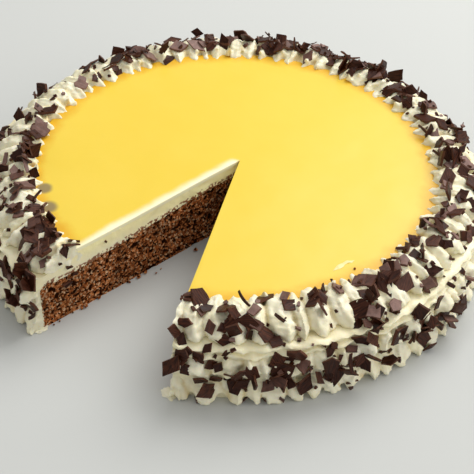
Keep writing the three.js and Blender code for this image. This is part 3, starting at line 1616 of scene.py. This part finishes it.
@dataclass
class RimStars(PipedRow):
    """The border along the rim: low wide stars, with teeth towards the liqueur and plump lobes outwards."""

    name: str = "rim_stars"
    node: str = "rim_border"
    pleat_count: int = 78
    pleat_lean: float = 0.06
    pleat_seed: float = 2.0
    peaks: int = 44
    proud: float = -0.05
    outline: Pairs = (
        (0.0, 0.86), (0.08, 1.0), (0.3, 0.86), (0.54, 0.67), (0.76, 0.46), (0.91, 0.22), (1.0, 0.0),
    )
    bead: tuple[Quad, ...] = (
        (107.5, 36.0, 0.0, 0.0), (122.0, 32.0, -2.0, 0.0), (130.0, 32.6, -8.4, 0.8),
        (131.6, 34.2, -9.0, 0.8), (130.6, 37.2, -8.6, -0.4), (127.8, 40.4, -7.4, -1.8),
        (123.0, 43.2, -5.0, -3.2), (117.0, 44.2, -1.0, -2.8), (111.5, 43.8, 1.6, -3.0),
        (107.5, 42.4, 4.6, -3.0), (104.6, 40.9, 6.6, -2.0), (103.4, 39.4, 7.4, 0.0),
    )


@dataclass
class FootStars(PipedRow):
    """The border round the foot: stars pressed against the side, with plump lobes over a ruffled skirt."""

    name: str = "foot_stars"
    node: str = "foot_border"
    count: int = 34
    ring_radius: float = 125.6
    base_height: float = 0.0
    half_width: float = 11.4
    height: float = 28.5
    seed: int = 11
    pleat_count: int = 84
    pleat_lean: float = 0.05
    pleat_seed: float = 7.0
    wander: float = 1.5
    ragged: float = 3.0
    backed_by: float = 130.4
    voxel: float = 0.98
    proud: float = -0.15
    outline: Pairs = (
        (0.0, 1.0), (0.18, 0.96), (0.42, 0.6), (0.58, 0.93), (0.74, 0.95), (0.86, 0.74), (0.95, 0.42),
        (1.0, 0.0),
    )
    bead: tuple[Quad, ...] = (
        (130.4, 0.0, 0.0, 6.0), (134.5, 0.0, -1.6, 6.4), (139.4, 0.0, -6.0, 7.4), (138.9, 3.0, -6.0, 5.6),
        (137.6, 6.6, -5.0, 3.0), (135.2, 9.6, -3.4, 0.8), (133.2, 12.6, -2.0, 0.0),
        (134.8, 15.4, -4.0, 0.0), (138.8, 18.4, -7.4, 0.0), (139.2, 21.5, -7.6, -0.8),
        (137.0, 25.4, -5.0, -2.6), (133.4, 27.4, -2.0, -3.6), (130.4, 27.4, 0.0, -3.6),
    )


# ---- Chocolate, crumbs and cream laid on the cake ----


@dataclass(frozen=True)
class BorderLine:
    """The outline of the two piped rows in section, from the liqueur over the rim and down to the floor."""

    points: Pairs = (
        (103.5, 40.0), (107.0, 43.0), (110.0, 45.2), (114.0, 46.0), (119.0, 44.5), (125.0, 40.0),
        (131.0, 34.0), (133.5, 29.0), (136.0, 24.0), (137.0, 16.0), (137.5, 8.0), (137.8, 0.0),
    )

    @property
    def length(self) -> float:
        """The line's whole length."""
        return sum(math.dist(a, b) for a, b in zip(self.points, self.points[1:]))

    def at(self, along: float, around: float) -> tuple[Vector, Vector]:
        """A place on the border's outline.

        Args:
            along: distance along the line, from the liqueur outwards.
            around: angle round the cake, in radians.

        Returns:
            The place and the outward normal there.
        """
        left = along
        for (r0, z0), (r1, z1) in zip(self.points, self.points[1:]):
            step = math.dist((r0, z0), (r1, z1))
            if left <= step or (r1, z1) == self.points[-1]:
                break
            left -= step
        share = min(left / step, 1.0)
        place = Vector((r0 + (r1 - r0) * share, 0.0, z0 + (z1 - z0) * share))
        out = Vector((z0 - z1, 0.0, r1 - r0)).normalized()
        swung = Matrix.Rotation(around, 3, "Z")
        return swung @ place, swung @ out


@dataclass
class CreamSkin:
    """The surfaces that chocolate can be laid on, in millimetres."""

    trees: list[BVHTree] = field(default_factory=list)
    hover: float = 14.0
    reach: float = 24.0
    most_lift: float = 1.5

    def add_piece(self, piece: Object) -> None:
        """Takes in a finished piece, whose mesh is in metres.

        Args:
            piece: the piece.
        """
        corners = [vert.co * (1 / MILLIMETRE) for vert in piece.data.vertices]
        faces = [tuple(face.vertices) for face in piece.data.polygons]
        self.trees.append(BVHTree.FromPolygons(corners, faces))

    def add(self, bm: BMesh) -> None:
        """Lets later pieces lie on these as well."""
        self.trees.append(BVHTree.FromBMesh(bm))

    def below(self, place: Vector, out: Vector) -> Vector | None:
        """The skin's first place under a point that is lifted off it.

        Args:
            place: a point near the skin.
            out: the way out of the skin.

        Returns:
            The place, or None where there is none within reach.
        """
        hits = [tree.ray_cast(place + out * self.hover, -out, self.reach) for tree in self.trees]
        found = [(distance, met) for met, _, _, distance in hits if met is not None]
        return min(found, key=lambda item: item[0])[1] if found else None

    def lay(self, place: Vector, out: Vector, spin: float, half: float) -> tuple[Vector, Vector] | None:
        """Finds how a small plate comes to lie over a place.

        Args:
            place: a point near the surface.
            out: the way out of the surface.
            spin: the plate's turn about the way out.
            half: half the plate's size.

        Returns:
            The plate's middle and its normal, or None where it would hang in the air.
        """
        first = out.orthogonal().normalized()
        first.rotate(Matrix.Rotation(spin, 3, out))
        second = out.cross(first)
        centre = self.below(place, out)
        if centre is None:
            return None
        sides = [way * half for way in (first, second, -first, -second)]
        feet = [self.below(place + side, out) or centre + side for side in sides]
        normal = (feet[0] - feet[2]).cross(feet[1] - feet[3]).normalized()
        if normal.dot(out) < 0:
            normal.negate()
        middle = sum(feet, Vector()) / 4
        if (centre - middle).dot(normal) > 0:
            middle += normal * min((centre - middle).dot(normal), self.most_lift)
        return middle, normal


@dataclass
class LaidChocolate(CakePiece):
    """Chocolate strewn over the piped rows: shapes from a small stock, laid on the cream and on each other.

    The density is shared out along the border's outline, and round the cake by degrees. Each placed shape has
    its distance along the outline, its degrees round the cake and its size across.
    """

    slot: str = "chocolate"
    skin: CreamSkin | None = None
    line: BorderLine = BorderLine()
    count: int = 100
    stock_size: int = 24
    batches: int = 3
    sizes_drawn: Span = (0.82, 1.15)
    flat_tilt: float = 14.0
    upright_share: float = 0.3
    upright_tilt: Span = (35.0, 80.0)
    sink: float = 0.55
    lift: float = 0.45
    flat_lift: float = 0.5
    foot_share: float = 0.6
    rim_slope: float = 0.6
    map_reach: float = 90.0
    lowest: float = 0.05
    least_tone: float = 0.12
    chance: float = 0.7
    clumping: float = 0.5
    clump_change: float = 1.1
    clump_scale: float = 0.075
    back_shift: float = 4.5
    density: Pairs = ((0.0, 1.0),)
    placed: tuple[Triple, ...] = ()
    round_the_cake: Pairs = (
        (0.0, 0.64), (35.0, 0.78), (66.0, 1.15), (120.0, 1.1), (160.0, 0.72), (190.0, 0.28),
        (213.0, 1.05), (239.0, 1.25), (248.0, 0.85), (290.0, 0.5), (308.0, 0.62), (320.0, 0.88),
        (345.0, 0.7), (360.0, 0.64),
    )

    def shape(self) -> BMesh:
        """One stock shape, centred on the origin and lying in XY."""
        raise NotImplementedError

    def extent(self, mesh: Mesh) -> float:
        """Half the size of a stock shape across."""
        return max(vert.co.xy.length for vert in mesh.vertices)

    def stock(self) -> list[Mesh]:
        """Makes the stock of shapes, each with its map and its broken rim marked.

        Returns:
            The shapes' meshes.
        """
        made = []
        for number in range(self.stock_size):
            bm = self.shape()
            bm.normal_update()
            flake_uv = bm.loops.layers.uv.new("flake_uv")
            rim = bm.faces.layers.float.new("rim")
            bm.faces.layers.float.new("tone")
            offset = Vector(self.rng.uniform(0, self.map_reach) for _ in range(2))
            for face in bm.faces:
                face[rim] = 1.0 if abs(face.normal.z) < self.rim_slope else 0.0
                for loop in face.loops:
                    loop[flake_uv].uv = loop.vert.co.xy + offset
            mesh = bpy.data.meshes.new(f"{self.name}_stock_{number}")
            bm.to_mesh(mesh)
            bm.free()
            made.append(mesh)
        return made

    def wanted(self) -> Span:
        """Picks a place by the density along the border and its clumps.

        Returns:
            Distance along the border's outline, and angle round the cake.
        """
        while True:
            along = self.rng.uniform(0, self.line.length)
            around = self.rng.uniform(0, math.tau)
            place, _ = self.line.at(along, around)
            clump = 0.5 + self.clump_change * noise.noise(place * self.clump_scale)
            outwards = self.back_shift * (0.5 + 0.5 * math.sin(around))
            chance = self.chance * interpolated(self.density, along - outwards)
            chance *= interpolated(self.round_the_cake, math.degrees(around))
            chance *= 1 - self.clumping + 2 * self.clumping * clump
            if self.rng.random() < chance and not self.gap.holds(place):
                return along, around

    def put(self, bm: BMesh, mesh: Mesh, place: Matrix, tone: float) -> None:
        """Adds one shape to the piece, lifted where it would go through the floor.

        Args:
            bm: the piece's mesh.
            mesh: the stock shape.
            place: where it goes.
            tone: how light its chocolate looks, from 0 to 1, with the painted light of laid shapes in it.
        """
        copy = mesh.copy()
        copy.transform(place)
        sunk = self.lowest - min(vert.co.z for vert in copy.vertices)
        if sunk > 0:
            copy.transform(Matrix.Translation((0, 0, sunk)))
        copy.attributes["tone"].data.foreach_set("value", [tone] * len(copy.polygons))
        bm.from_mesh(copy)
        bpy.data.meshes.remove(copy)

    def accents(self, bm: BMesh, stock: list[Mesh]) -> None:
        """Adds the shapes that have a place of their own."""

    def make(self) -> Object:
        """Lays all shapes in batches, each on what lies there already, the placed ones in the first.

        Returns:
            The chocolate as one object.
        """
        stock = self.stock()
        whole = bmesh.new()
        for number in range(self.batches):
            bm = bmesh.new()
            for along, around, across in self.placed if number == 0 else ():
                self.lay_one(bm, self.rng.choice(stock), (along, math.radians(around)), across)
            for _ in range(self.count // self.batches):
                spot = self.wanted()
                self.lay_one(bm, self.rng.choice(stock), spot)
            self.skin.add(bm)
            added(bm, whole)
        self.accents(whole, stock)
        for mesh in stock:
            bpy.data.meshes.remove(mesh)
        return linked(whole, self.name)

    def lay_one(
        self,
        bm: BMesh,
        mesh: Mesh,
        spot: Span,
        across: float = 0.0,
    ) -> None:
        """Lays one shape on the skin at a place of the border.

        Args:
            bm: the batch it goes into.
            mesh: the stock shape.
            spot: distance along the border's outline, and angle round the cake.
            across: the size it is to have, or 0 for about its own.
        """
        size = self.rng.uniform(*self.sizes_drawn)
        if across:
            size = across / (2 * self.extent(mesh))
        half = self.extent(mesh) * size
        place, out = self.line.at(*spot)
        spin = self.rng.uniform(0, math.tau)
        laid = self.skin.lay(place, out, spin, half * self.foot_share)
        upright = self.rng.random() < self.upright_share and not across
        tilt = self.rng.uniform(*self.upright_tilt) if upright else self.rng.gauss(0, self.flat_tilt)
        heading = self.rng.uniform(0, math.tau)
        tone = self.rng.random()
        if laid is None or self.gap.holds(laid[0]):
            return
        middle, normal = laid
        lean = Matrix.Rotation(heading, 4, "Z") @ turn(tilt, "X") @ Matrix.Rotation(spin, 4, "Z")
        raised = self.lift * half * abs(math.sin(math.radians(tilt)))
        lift = self.sink + raised * (1.0 if upright else self.flat_lift)
        upwards = normal.to_track_quat("Z", "Y").to_matrix().to_4x4()
        matrix = Matrix.Translation(middle + normal * lift) @ upwards @ lean @ Matrix.Scale(size, 4)
        # Painted light: the random tone is kept most on flakes that face up, so these look lighter.
        facing_up = abs((upwards @ lean).col[2].z)
        self.put(bm, mesh, matrix, tone * (self.least_tone + (1 - self.least_tone) * facing_up))


@dataclass
class ChocolateFlakes(LaidChocolate):
    """Broken plates of thin dark chocolate, each from a polygon with four or five corners.

    A pair of numbers is the range that each flake draws from. Its lengths have a usual value as well.
    """

    name: str = "chocolate_flakes"
    count: int = 680
    stock_size: int = 30
    seed: int = 20
    corner_counts: tuple[int, ...] = (4, 4, 4, 4, 4, 5)
    lengths: Triple = (4.8, 11.8, 6.8)
    widths: Span = (0.6, 0.95)
    thicknesses: Span = (0.7, 1.4)
    circle_radius: float = 0.62
    skews: Span = (-0.3, 0.3)
    corner_shares: Span = (0.8, 1.15)
    nicks: Span = (-0.22, 0.22)
    top_shares: Span = (0.88, 1.0)
    top_heights: Span = (0.75, 1.15)
    scores: tuple[float, ...] = (-0.22, 0.0, 0.22)
    score_slants: Span = (-0.1, 0.1)
    score_depth: float = 0.28
    score_scale: float = 1.3
    bends: Span = (-0.035, 0.035)
    density: Pairs = (
        (0.0, 0.02), (4.0, 0.15), (7.0, 0.8), (13.0, 0.95), (22.0, 0.8), (30.0, 0.7), (35.0, 0.62),
        (38.0, 0.65), (42.0, 0.9), (46.0, 1.1), (54.0, 1.1), (58.0, 0.6), (63.0, 0.2), (69.0, 0.06),
    )
    placed: tuple[Triple, ...] = (
        (7.5, 288.8, 11.0), (13.0, 289.4, 9.0), (19.0, 293.0, 9.0), (25.0, 290.0, 9.0),
        (30.0, 288.0, 9.0), (34.0, 289.5, 8.0), (26.0, 298.0, 9.0), (25.0, 305.3, 8.0),
        (29.0, 303.5, 8.0), (40.0, 293.5, 9.5), (37.5, 291.4, 8.5), (36.0, 295.5, 8.0),
        (44.0, 296.0, 8.0), (43.5, 290.6, 7.5), (37.0, 299.0, 6.0), (48.0, 291.0, 8.0),
        (54.0, 294.0, 9.0), (55.0, 297.0, 8.0), (51.0, 301.0, 9.5), (47.0, 304.0, 9.0),
        (67.5, 293.5, 4.5), (66.5, 302.5, 5.0), (66.0, 307.0, 4.5), (41.0, 312.0, 9.0),
        (22.0, 242.0, 9.0), (27.0, 243.5, 10.0), (15.5, 249.5, 9.5), (26.0, 252.5, 7.0),
        (34.6, 251.6, 8.0), (43.0, 250.6, 10.0), (56.4, 249.4, 8.0), (66.9, 251.0, 9.0),
    )

    def shape(self) -> BMesh:
        """A plate: an uneven polygon, drawn to its thickness, scored across and bent a little.

        Returns:
            The plate's mesh.
        """
        corners = self.rng.choice(self.corner_counts)
        length = self.rng.triangular(*self.lengths)
        width = length * self.rng.uniform(*self.widths)
        thickness = self.rng.uniform(*self.thicknesses)
        bm = bmesh.new()
        bmesh.ops.create_circle(bm, cap_ends=True, segments=corners, radius=self.circle_radius)
        skew = self.rng.uniform(*self.skews)
        for vert in bm.verts:
            vert.co *= self.rng.uniform(*self.corner_shares)
        swung = Matrix.Rotation(self.rng.uniform(0, math.tau), 3, "Z")
        bmesh.ops.rotate(bm, verts=bm.verts, cent=(0, 0, 0), matrix=swung)
        for vert in bm.verts:
            vert.co.x = (vert.co.x + skew * vert.co.y) * length
            vert.co.y *= width
        nicks = bmesh.ops.subdivide_edges(bm, edges=bm.edges[:], cuts=1)["geom_inner"]
        for vert in corners_among(nicks):
            vert.co += Vector((self.rng.uniform(*self.nicks), self.rng.uniform(*self.nicks), 0.0))
        top = bmesh.ops.extrude_face_region(bm, geom=bm.faces[:])["geom"]
        for vert in corners_among(top):
            vert.co *= self.rng.uniform(*self.top_shares)
            vert.co.z = thickness * self.rng.uniform(*self.top_heights)
        bmesh.ops.translate(bm, verts=bm.verts, vec=(0, 0, -thickness / 2))
        bmesh.ops.recalc_face_normals(bm, faces=bm.faces)
        for share in self.scores:
            slant = (self.rng.uniform(*self.score_slants), 1, 0)
            middle = (0, share * width, 0)
            bmesh.ops.bisect_plane(bm, geom=everything(bm), plane_co=middle, plane_no=slant)
        bend = self.rng.uniform(*self.bends)
        for vert in bm.verts:
            place = Vector((corners * 7.0 + length, vert.co.y * self.score_scale, 0))
            score = self.score_depth * noise.noise(place)
            vert.co.z += bend * vert.co.y**2 + (score if vert.co.z > 0 else 0.3 * score)
        return bm


@dataclass
class ChocolateSlivers(LaidChocolate):
    """Thin curled shavings, many of them standing on edge. A pair of numbers is the range of their sizes."""

    name: str = "chocolate_slivers"
    count: int = 66
    stock_size: int = 16
    seed: int = 31
    upright_share: float = 0.4
    upright_tilt: Span = (30.0, 85.0)
    lengths: Span = (5.0, 12.0)
    widths: Span = (1.2, 2.6)
    rolls: Span = (7.0, 30.0)
    tapers: Span = (0.6, 1.2)
    thicknesses: Span = (0.35, 0.6)
    steps: int = 6
    density: Pairs = (
        (0.0, 0.15), (5.0, 0.6), (12.0, 1.0), (32.0, 0.9), (56.0, 0.9), (66.0, 0.2),
    )

    def shape(self) -> BMesh:
        """A narrow strip rolled along its length and given its thickness.

        Returns:
            The strip's mesh.
        """
        length, width, roll = (self.rng.uniform(*ends) for ends in (self.lengths, self.widths, self.rolls))
        bm = bmesh.new()
        bmesh.ops.create_grid(bm, x_segments=self.steps, y_segments=1, size=0.5)
        for vert in bm.verts:
            taper = 1.0 - 0.5 * abs(vert.co.x) * self.rng.uniform(*self.tapers)
            angle = vert.co.x * length / roll
            side = vert.co.y * width * taper
            vert.co = Vector((roll * math.sin(angle), side + 0.5 * vert.co.x, roll * (1 - math.cos(angle))))
        bmesh.ops.recalc_face_normals(bm, faces=bm.faces)
        bmesh.ops.solidify(bm, geom=bm.faces[:], thickness=self.rng.uniform(*self.thicknesses))
        bmesh.ops.recalc_face_normals(bm, faces=bm.faces)
        return bm


@dataclass
class ChocolateBits(LaidChocolate):
    """Small broken bits between the flakes, with the few dark pieces caught in the left cut.

    Each piece in the cut has its distance from the tip, its height, length and width.
    """

    name: str = "chocolate_bits"
    count: int = 470
    stock_size: int = 14
    seed: int = 47
    flat_tilt: float = 40.0
    upright_share: float = 0.0
    sink: float = 0.25
    clumping: float = 0.35
    lengths: Span = (1.0, 3.0)
    shifts: Span = (-0.22, 0.22)
    flatness: Span = (0.75, 0.42)
    cut_side: CutSide = CutSide.LEFT
    cut_stand: float = 0.6
    cut_tone: float = 0.1
    cut_thickness: float = 1.6
    cut_turn: float = 0.7
    density: Pairs = (
        (0.0, 0.1), (4.0, 0.3), (9.0, 1.0), (32.0, 0.9), (40.0, 0.8), (56.0, 1.0), (68.0, 0.35),
    )
    in_cut: tuple[Quad, ...] = (
        (115.9, 21.4, 6.5, 3.2), (114.5, 31.8, 4.6, 2.2), (111.4, 26.0, 4.0, 2.0), (91.4, 35.6, 1.5, 1.0),
        (119.5, 36.8, 3.0, 2.0),
    )

    def shape(self) -> BMesh:
        """A block with every corner moved.

        Returns:
            The block's mesh.
        """
        bm = bmesh.new()
        bmesh.ops.create_cube(bm, size=1.0)
        length = self.rng.uniform(*self.lengths)
        for vert in bm.verts:
            shift = Vector(self.rng.uniform(*self.shifts) for _ in range(3))
            vert.co = (vert.co + shift) * length
            vert.co.y *= self.flatness[0]
            vert.co.z *= self.flatness[1]
        return bm

    def accents(self, bm: BMesh, stock: list[Mesh]) -> None:
        """Presses the dark pieces into the cut.

        Args:
            bm: the piece's mesh.
            stock: the stock of shapes.
        """
        along, normal = self.gap.along(self.cut_side), self.gap.into_gap(self.cut_side)
        facing = normal.to_track_quat("Z", "Y").to_matrix().to_4x4()
        for away, height, length, width in self.in_cut:
            mesh = self.rng.choice(stock)
            across = 2 * self.extent(mesh)
            place = Vector((*self.gap.tip, height)) + along * away + normal * self.cut_stand
            sized = Matrix.Diagonal((length / across, width / across * 1.3, self.cut_thickness, 1.0))
            swung = Matrix.Rotation(self.rng.uniform(-self.cut_turn, self.cut_turn), 4, "Z")
            self.put(bm, mesh, Matrix.Translation(place) @ facing @ swung @ sized, self.cut_tone)


@dataclass
class CreamSmear(CakePiece):
    """Cream that the knife and the spoon dragged away: two smears on the liqueur, others on the floor.

    Each is its place, the height that it lies at, its length, width and thickness, and its heading.
    """

    name: str = "cream_smear"
    lumps: float = 0.6
    lump_scale: float = 3.0
    lowest: float = 0.02
    smears: tuple[tuple[float, ...], ...] = (
        (86.2, -43.2, 40.08, 10.0, 2.2, 0.36, 73.0), (88.0, -39.4, 40.08, 5.0, 1.6, 0.36, 50.0),
        (40.5, -128.6, 0.2, 9.0, 5.5, 0.9, -20.0), (-37.0, -126.5, 0.3, 7.5, 4.0, 1.1, 75.0),
    )

    def make(self) -> Object:
        """Flattens and roughens small balls of cream.

        Returns:
            The smears as one object.
        """
        bm = bmesh.new()
        for number, (x, y, height, *size, heading) in enumerate(self.smears):
            verts = bmesh.ops.create_icosphere(bm, subdivisions=4, radius=0.5)["verts"]
            for vert in verts:
                place = vert.co * self.lump_scale + Vector((3 + number, 1, 7))
                vert.co *= 1 + self.lumps * noise.noise(place)
            bmesh.ops.scale(bm, verts=verts, vec=size)
            bmesh.ops.rotate(bm, verts=verts, cent=(0, 0, 0), matrix=turn(heading, "Z", 3))
            bmesh.ops.translate(bm, verts=verts, vec=(x, y, height + 0.1))
            for vert in verts:
                vert.co.z = max(vert.co.z, self.lowest)
        return linked(bm, self.name)


@dataclass
class CakeCrumbs(CakePiece):
    """Crumbs of sponge lying at the foot of the two cuts, and one on the liqueur by its place and size."""

    name: str = "cake_crumbs"
    slot: str = "sponge"
    count: int = 20
    seed: int = 5
    sides: tuple[CutSide, ...] = (CutSide.LEFT, CutSide.LEFT, CutSide.RIGHT)
    crumb_sizes: Triple = (0.6, 2.8, 0.9)
    nearest: float = 20.0
    spread: float = 108.0
    spread_power: float = 0.6
    thinning: float = 0.9
    lumps: float = 0.7
    lump_scale: float = 2.2
    lowest: float = 0.02
    tone: float = 0.55
    on_top: Quad = (92.8, -42.3, 40.4, 1.3)

    def make(self) -> Object:
        """Drops the crumbs beside the cuts, more of them towards the outside.

        Returns:
            The crumbs as one object.
        """
        bm = bmesh.new()
        for _ in range(self.count):
            side = self.rng.choice(self.sides)
            size = self.rng.triangular(*self.crumb_sizes)
            away = self.nearest + self.spread * self.rng.random() ** self.spread_power
            out = size * 0.5 + self.rng.expovariate(self.thinning)
            place = self.gap.apex + self.gap.along(side) * away + self.gap.into_gap(side) * out
            made = bmesh.ops.create_icosphere(bm, subdivisions=2, radius=size / 2)["verts"]
            shift = Vector(self.rng.uniform(0, 50) for _ in range(3))
            for vert in made:
                vert.co *= 1 + self.lumps * noise.noise(vert.co * (self.lump_scale / size) + shift)
            lowest = min(vert.co.z for vert in made)
            bmesh.ops.translate(bm, verts=made, vec=(place.x, place.y, self.lowest - lowest))
        x, y, z, size = self.on_top
        made = bmesh.ops.create_icosphere(bm, subdivisions=2, radius=size / 2)["verts"]
        bmesh.ops.translate(bm, verts=made, vec=(x, y, z))
        relief = bm.verts.layers.float.new("relief")
        for vert in bm.verts:
            vert[relief] = self.tone
        return linked(bm, self.name)


# ---- The studio ----


@dataclass
class Studio:
    """Floor, light and camera, with the camera where the photograph was taken from."""

    floor_size: float = 6.0
    camera_azimuth: float = 299.6
    camera_elevation: float = 39.62
    camera_distance: float = 0.6956
    lens: float = 94.5
    sensor: float = 36.0
    roll: float = 1.96
    middle_pixel: Span = (233.7, 220.2)
    key_azimuth: float = 80.0
    key_elevation: float = 50.0
    key_power: float = 23.5
    fill_azimuth: float = 12.0
    fill_elevation: float = 26.0
    fill_power: float = 7.0
    light_distance: float = 1.6
    light_size: float = 1.2
    light_colour: Colour = (1.0, 0.99, 0.97)
    sky: Colour = (1.0, 0.99, 0.96)
    sky_strength: float = 0.55

    @staticmethod
    def direction(azimuth: float, elevation: float) -> Vector:
        """Unit vector at an azimuth and elevation in degrees."""
        a, e = math.radians(azimuth), math.radians(elevation)
        return Vector((math.cos(e) * math.cos(a), math.cos(e) * math.sin(a), math.sin(e)))

    def floor(self, material: Material) -> Object:
        """Lays the plain floor.

        Args:
            material: its finish.

        Returns:
            The floor's object.
        """
        bm = bmesh.new()
        bmesh.ops.create_grid(bm, x_segments=1, y_segments=1, size=self.floor_size / 2)
        piece = linked(bm, "floor")
        piece.data.materials.append(material)
        return piece

    def soft_light(self, name: str, azimuth: float, elevation: float, power: float) -> None:
        """Hangs one broad square light over the cake, turned to its middle.

        Args:
            name: the light's name.
            azimuth: where it hangs, in degrees round the cake.
            elevation: its angle above the floor, in degrees.
            power: its power in watts.
        """
        light = bpy.data.lights.new(name, "AREA")
        light.shape = "SQUARE"
        light.size = self.light_size
        light.energy = power
        light.color = self.light_colour
        lamp = bpy.data.objects.new(name, light)
        way = self.direction(azimuth, elevation)
        lamp.location = way * self.light_distance
        lamp.rotation_euler = way.to_track_quat("Z", "Y").to_euler()
        bpy.context.scene.collection.objects.link(lamp)

    def lights(self) -> None:
        """Adds a key light from behind, a weak fill light from the right and an even sky."""
        self.soft_light("key", self.key_azimuth, self.key_elevation, self.key_power)
        self.soft_light("fill", self.fill_azimuth, self.fill_elevation, self.fill_power)
        world = bpy.data.worlds.new("soft_sky")
        world.use_nodes = True
        background = world.node_tree.nodes["Background"]
        background.inputs["Color"].default_value = (*self.sky, 1.0)
        background.inputs["Strength"].default_value = self.sky_strength
        bpy.context.scene.world = world

    def camera(self) -> Object:
        """Adds the camera, turned so that the cake's middle falls on its place in the photograph.

        Returns:
            The camera object.
        """
        data = bpy.data.cameras.new("camera")
        data.lens = self.lens
        data.sensor_width = self.sensor
        camera = bpy.data.objects.new("camera", data)
        focal = self.lens / self.sensor * PHOTO_PIXELS
        left = PHOTO_PIXELS / 2 - self.middle_pixel[0]
        above = PHOTO_PIXELS / 2 - self.middle_pixel[1]
        way = self.direction(self.camera_azimuth, self.camera_elevation)
        level = way.to_track_quat("Z", "Y").to_matrix().to_4x4()
        aimed = (
            turn(self.roll, "Z")
            @ Matrix.Rotation(-math.atan2(above, focal), 4, "X")
            @ Matrix.Rotation(-math.atan2(left, focal), 4, "Y")
        )
        camera.matrix_world = Matrix.Translation(way * self.camera_distance) @ level @ aimed
        bpy.context.scene.collection.objects.link(camera)
        bpy.context.scene.camera = camera
        return camera


# ---- Building in order ----


def main() -> None:
    """Builds the cake around its frame, then the studio."""
    logging.basicConfig(level=logging.INFO, format="%(name)s: %(message)s")
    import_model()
    bpy.context.scene.view_settings.view_transform = "Standard"
    sizes = CakeSizes.from_frame()
    gap = MissingSlice()
    effects = EffectGroups()
    studio = Studio()
    studio.camera()

    cream = CreamFinish().material(effects)
    sponge = SpongeFinish().material(effects)
    liqueur = LiqueurFinish(cut=gap).material(effects)
    chocolate = ChocolateFinish().material(effects)

    SpongeCrumb(sizes, gap, sponge).build(smooth_angle=60.0)
    layer = CreamLayer(sizes, gap, LayerCreamFinish().material(effects)).build()
    LiqueurPool(sizes, gap, liqueur).build(smooth_angle=60.0)
    rim = RimStars(sizes, gap, cream).build(smooth_angle=60.0)
    foot = FootStars(sizes, gap, cream).build(smooth_angle=60.0)
    skin = CreamSkin()
    for piece in (layer, rim, foot):
        skin.add_piece(piece)
    for kind in (ChocolateFlakes, ChocolateSlivers, ChocolateBits):
        kind(sizes, gap, chocolate, skin=skin).build(smooth_angle=25.0)
    CreamSmear(sizes, gap, SmearFinish().material(effects)).build()
    CakeCrumbs(sizes, gap, sponge).build()

    studio.floor(FloorFinish().material(effects))
    studio.lights()
    log.info("cake built")


if __name__ == "__main__":
    main()
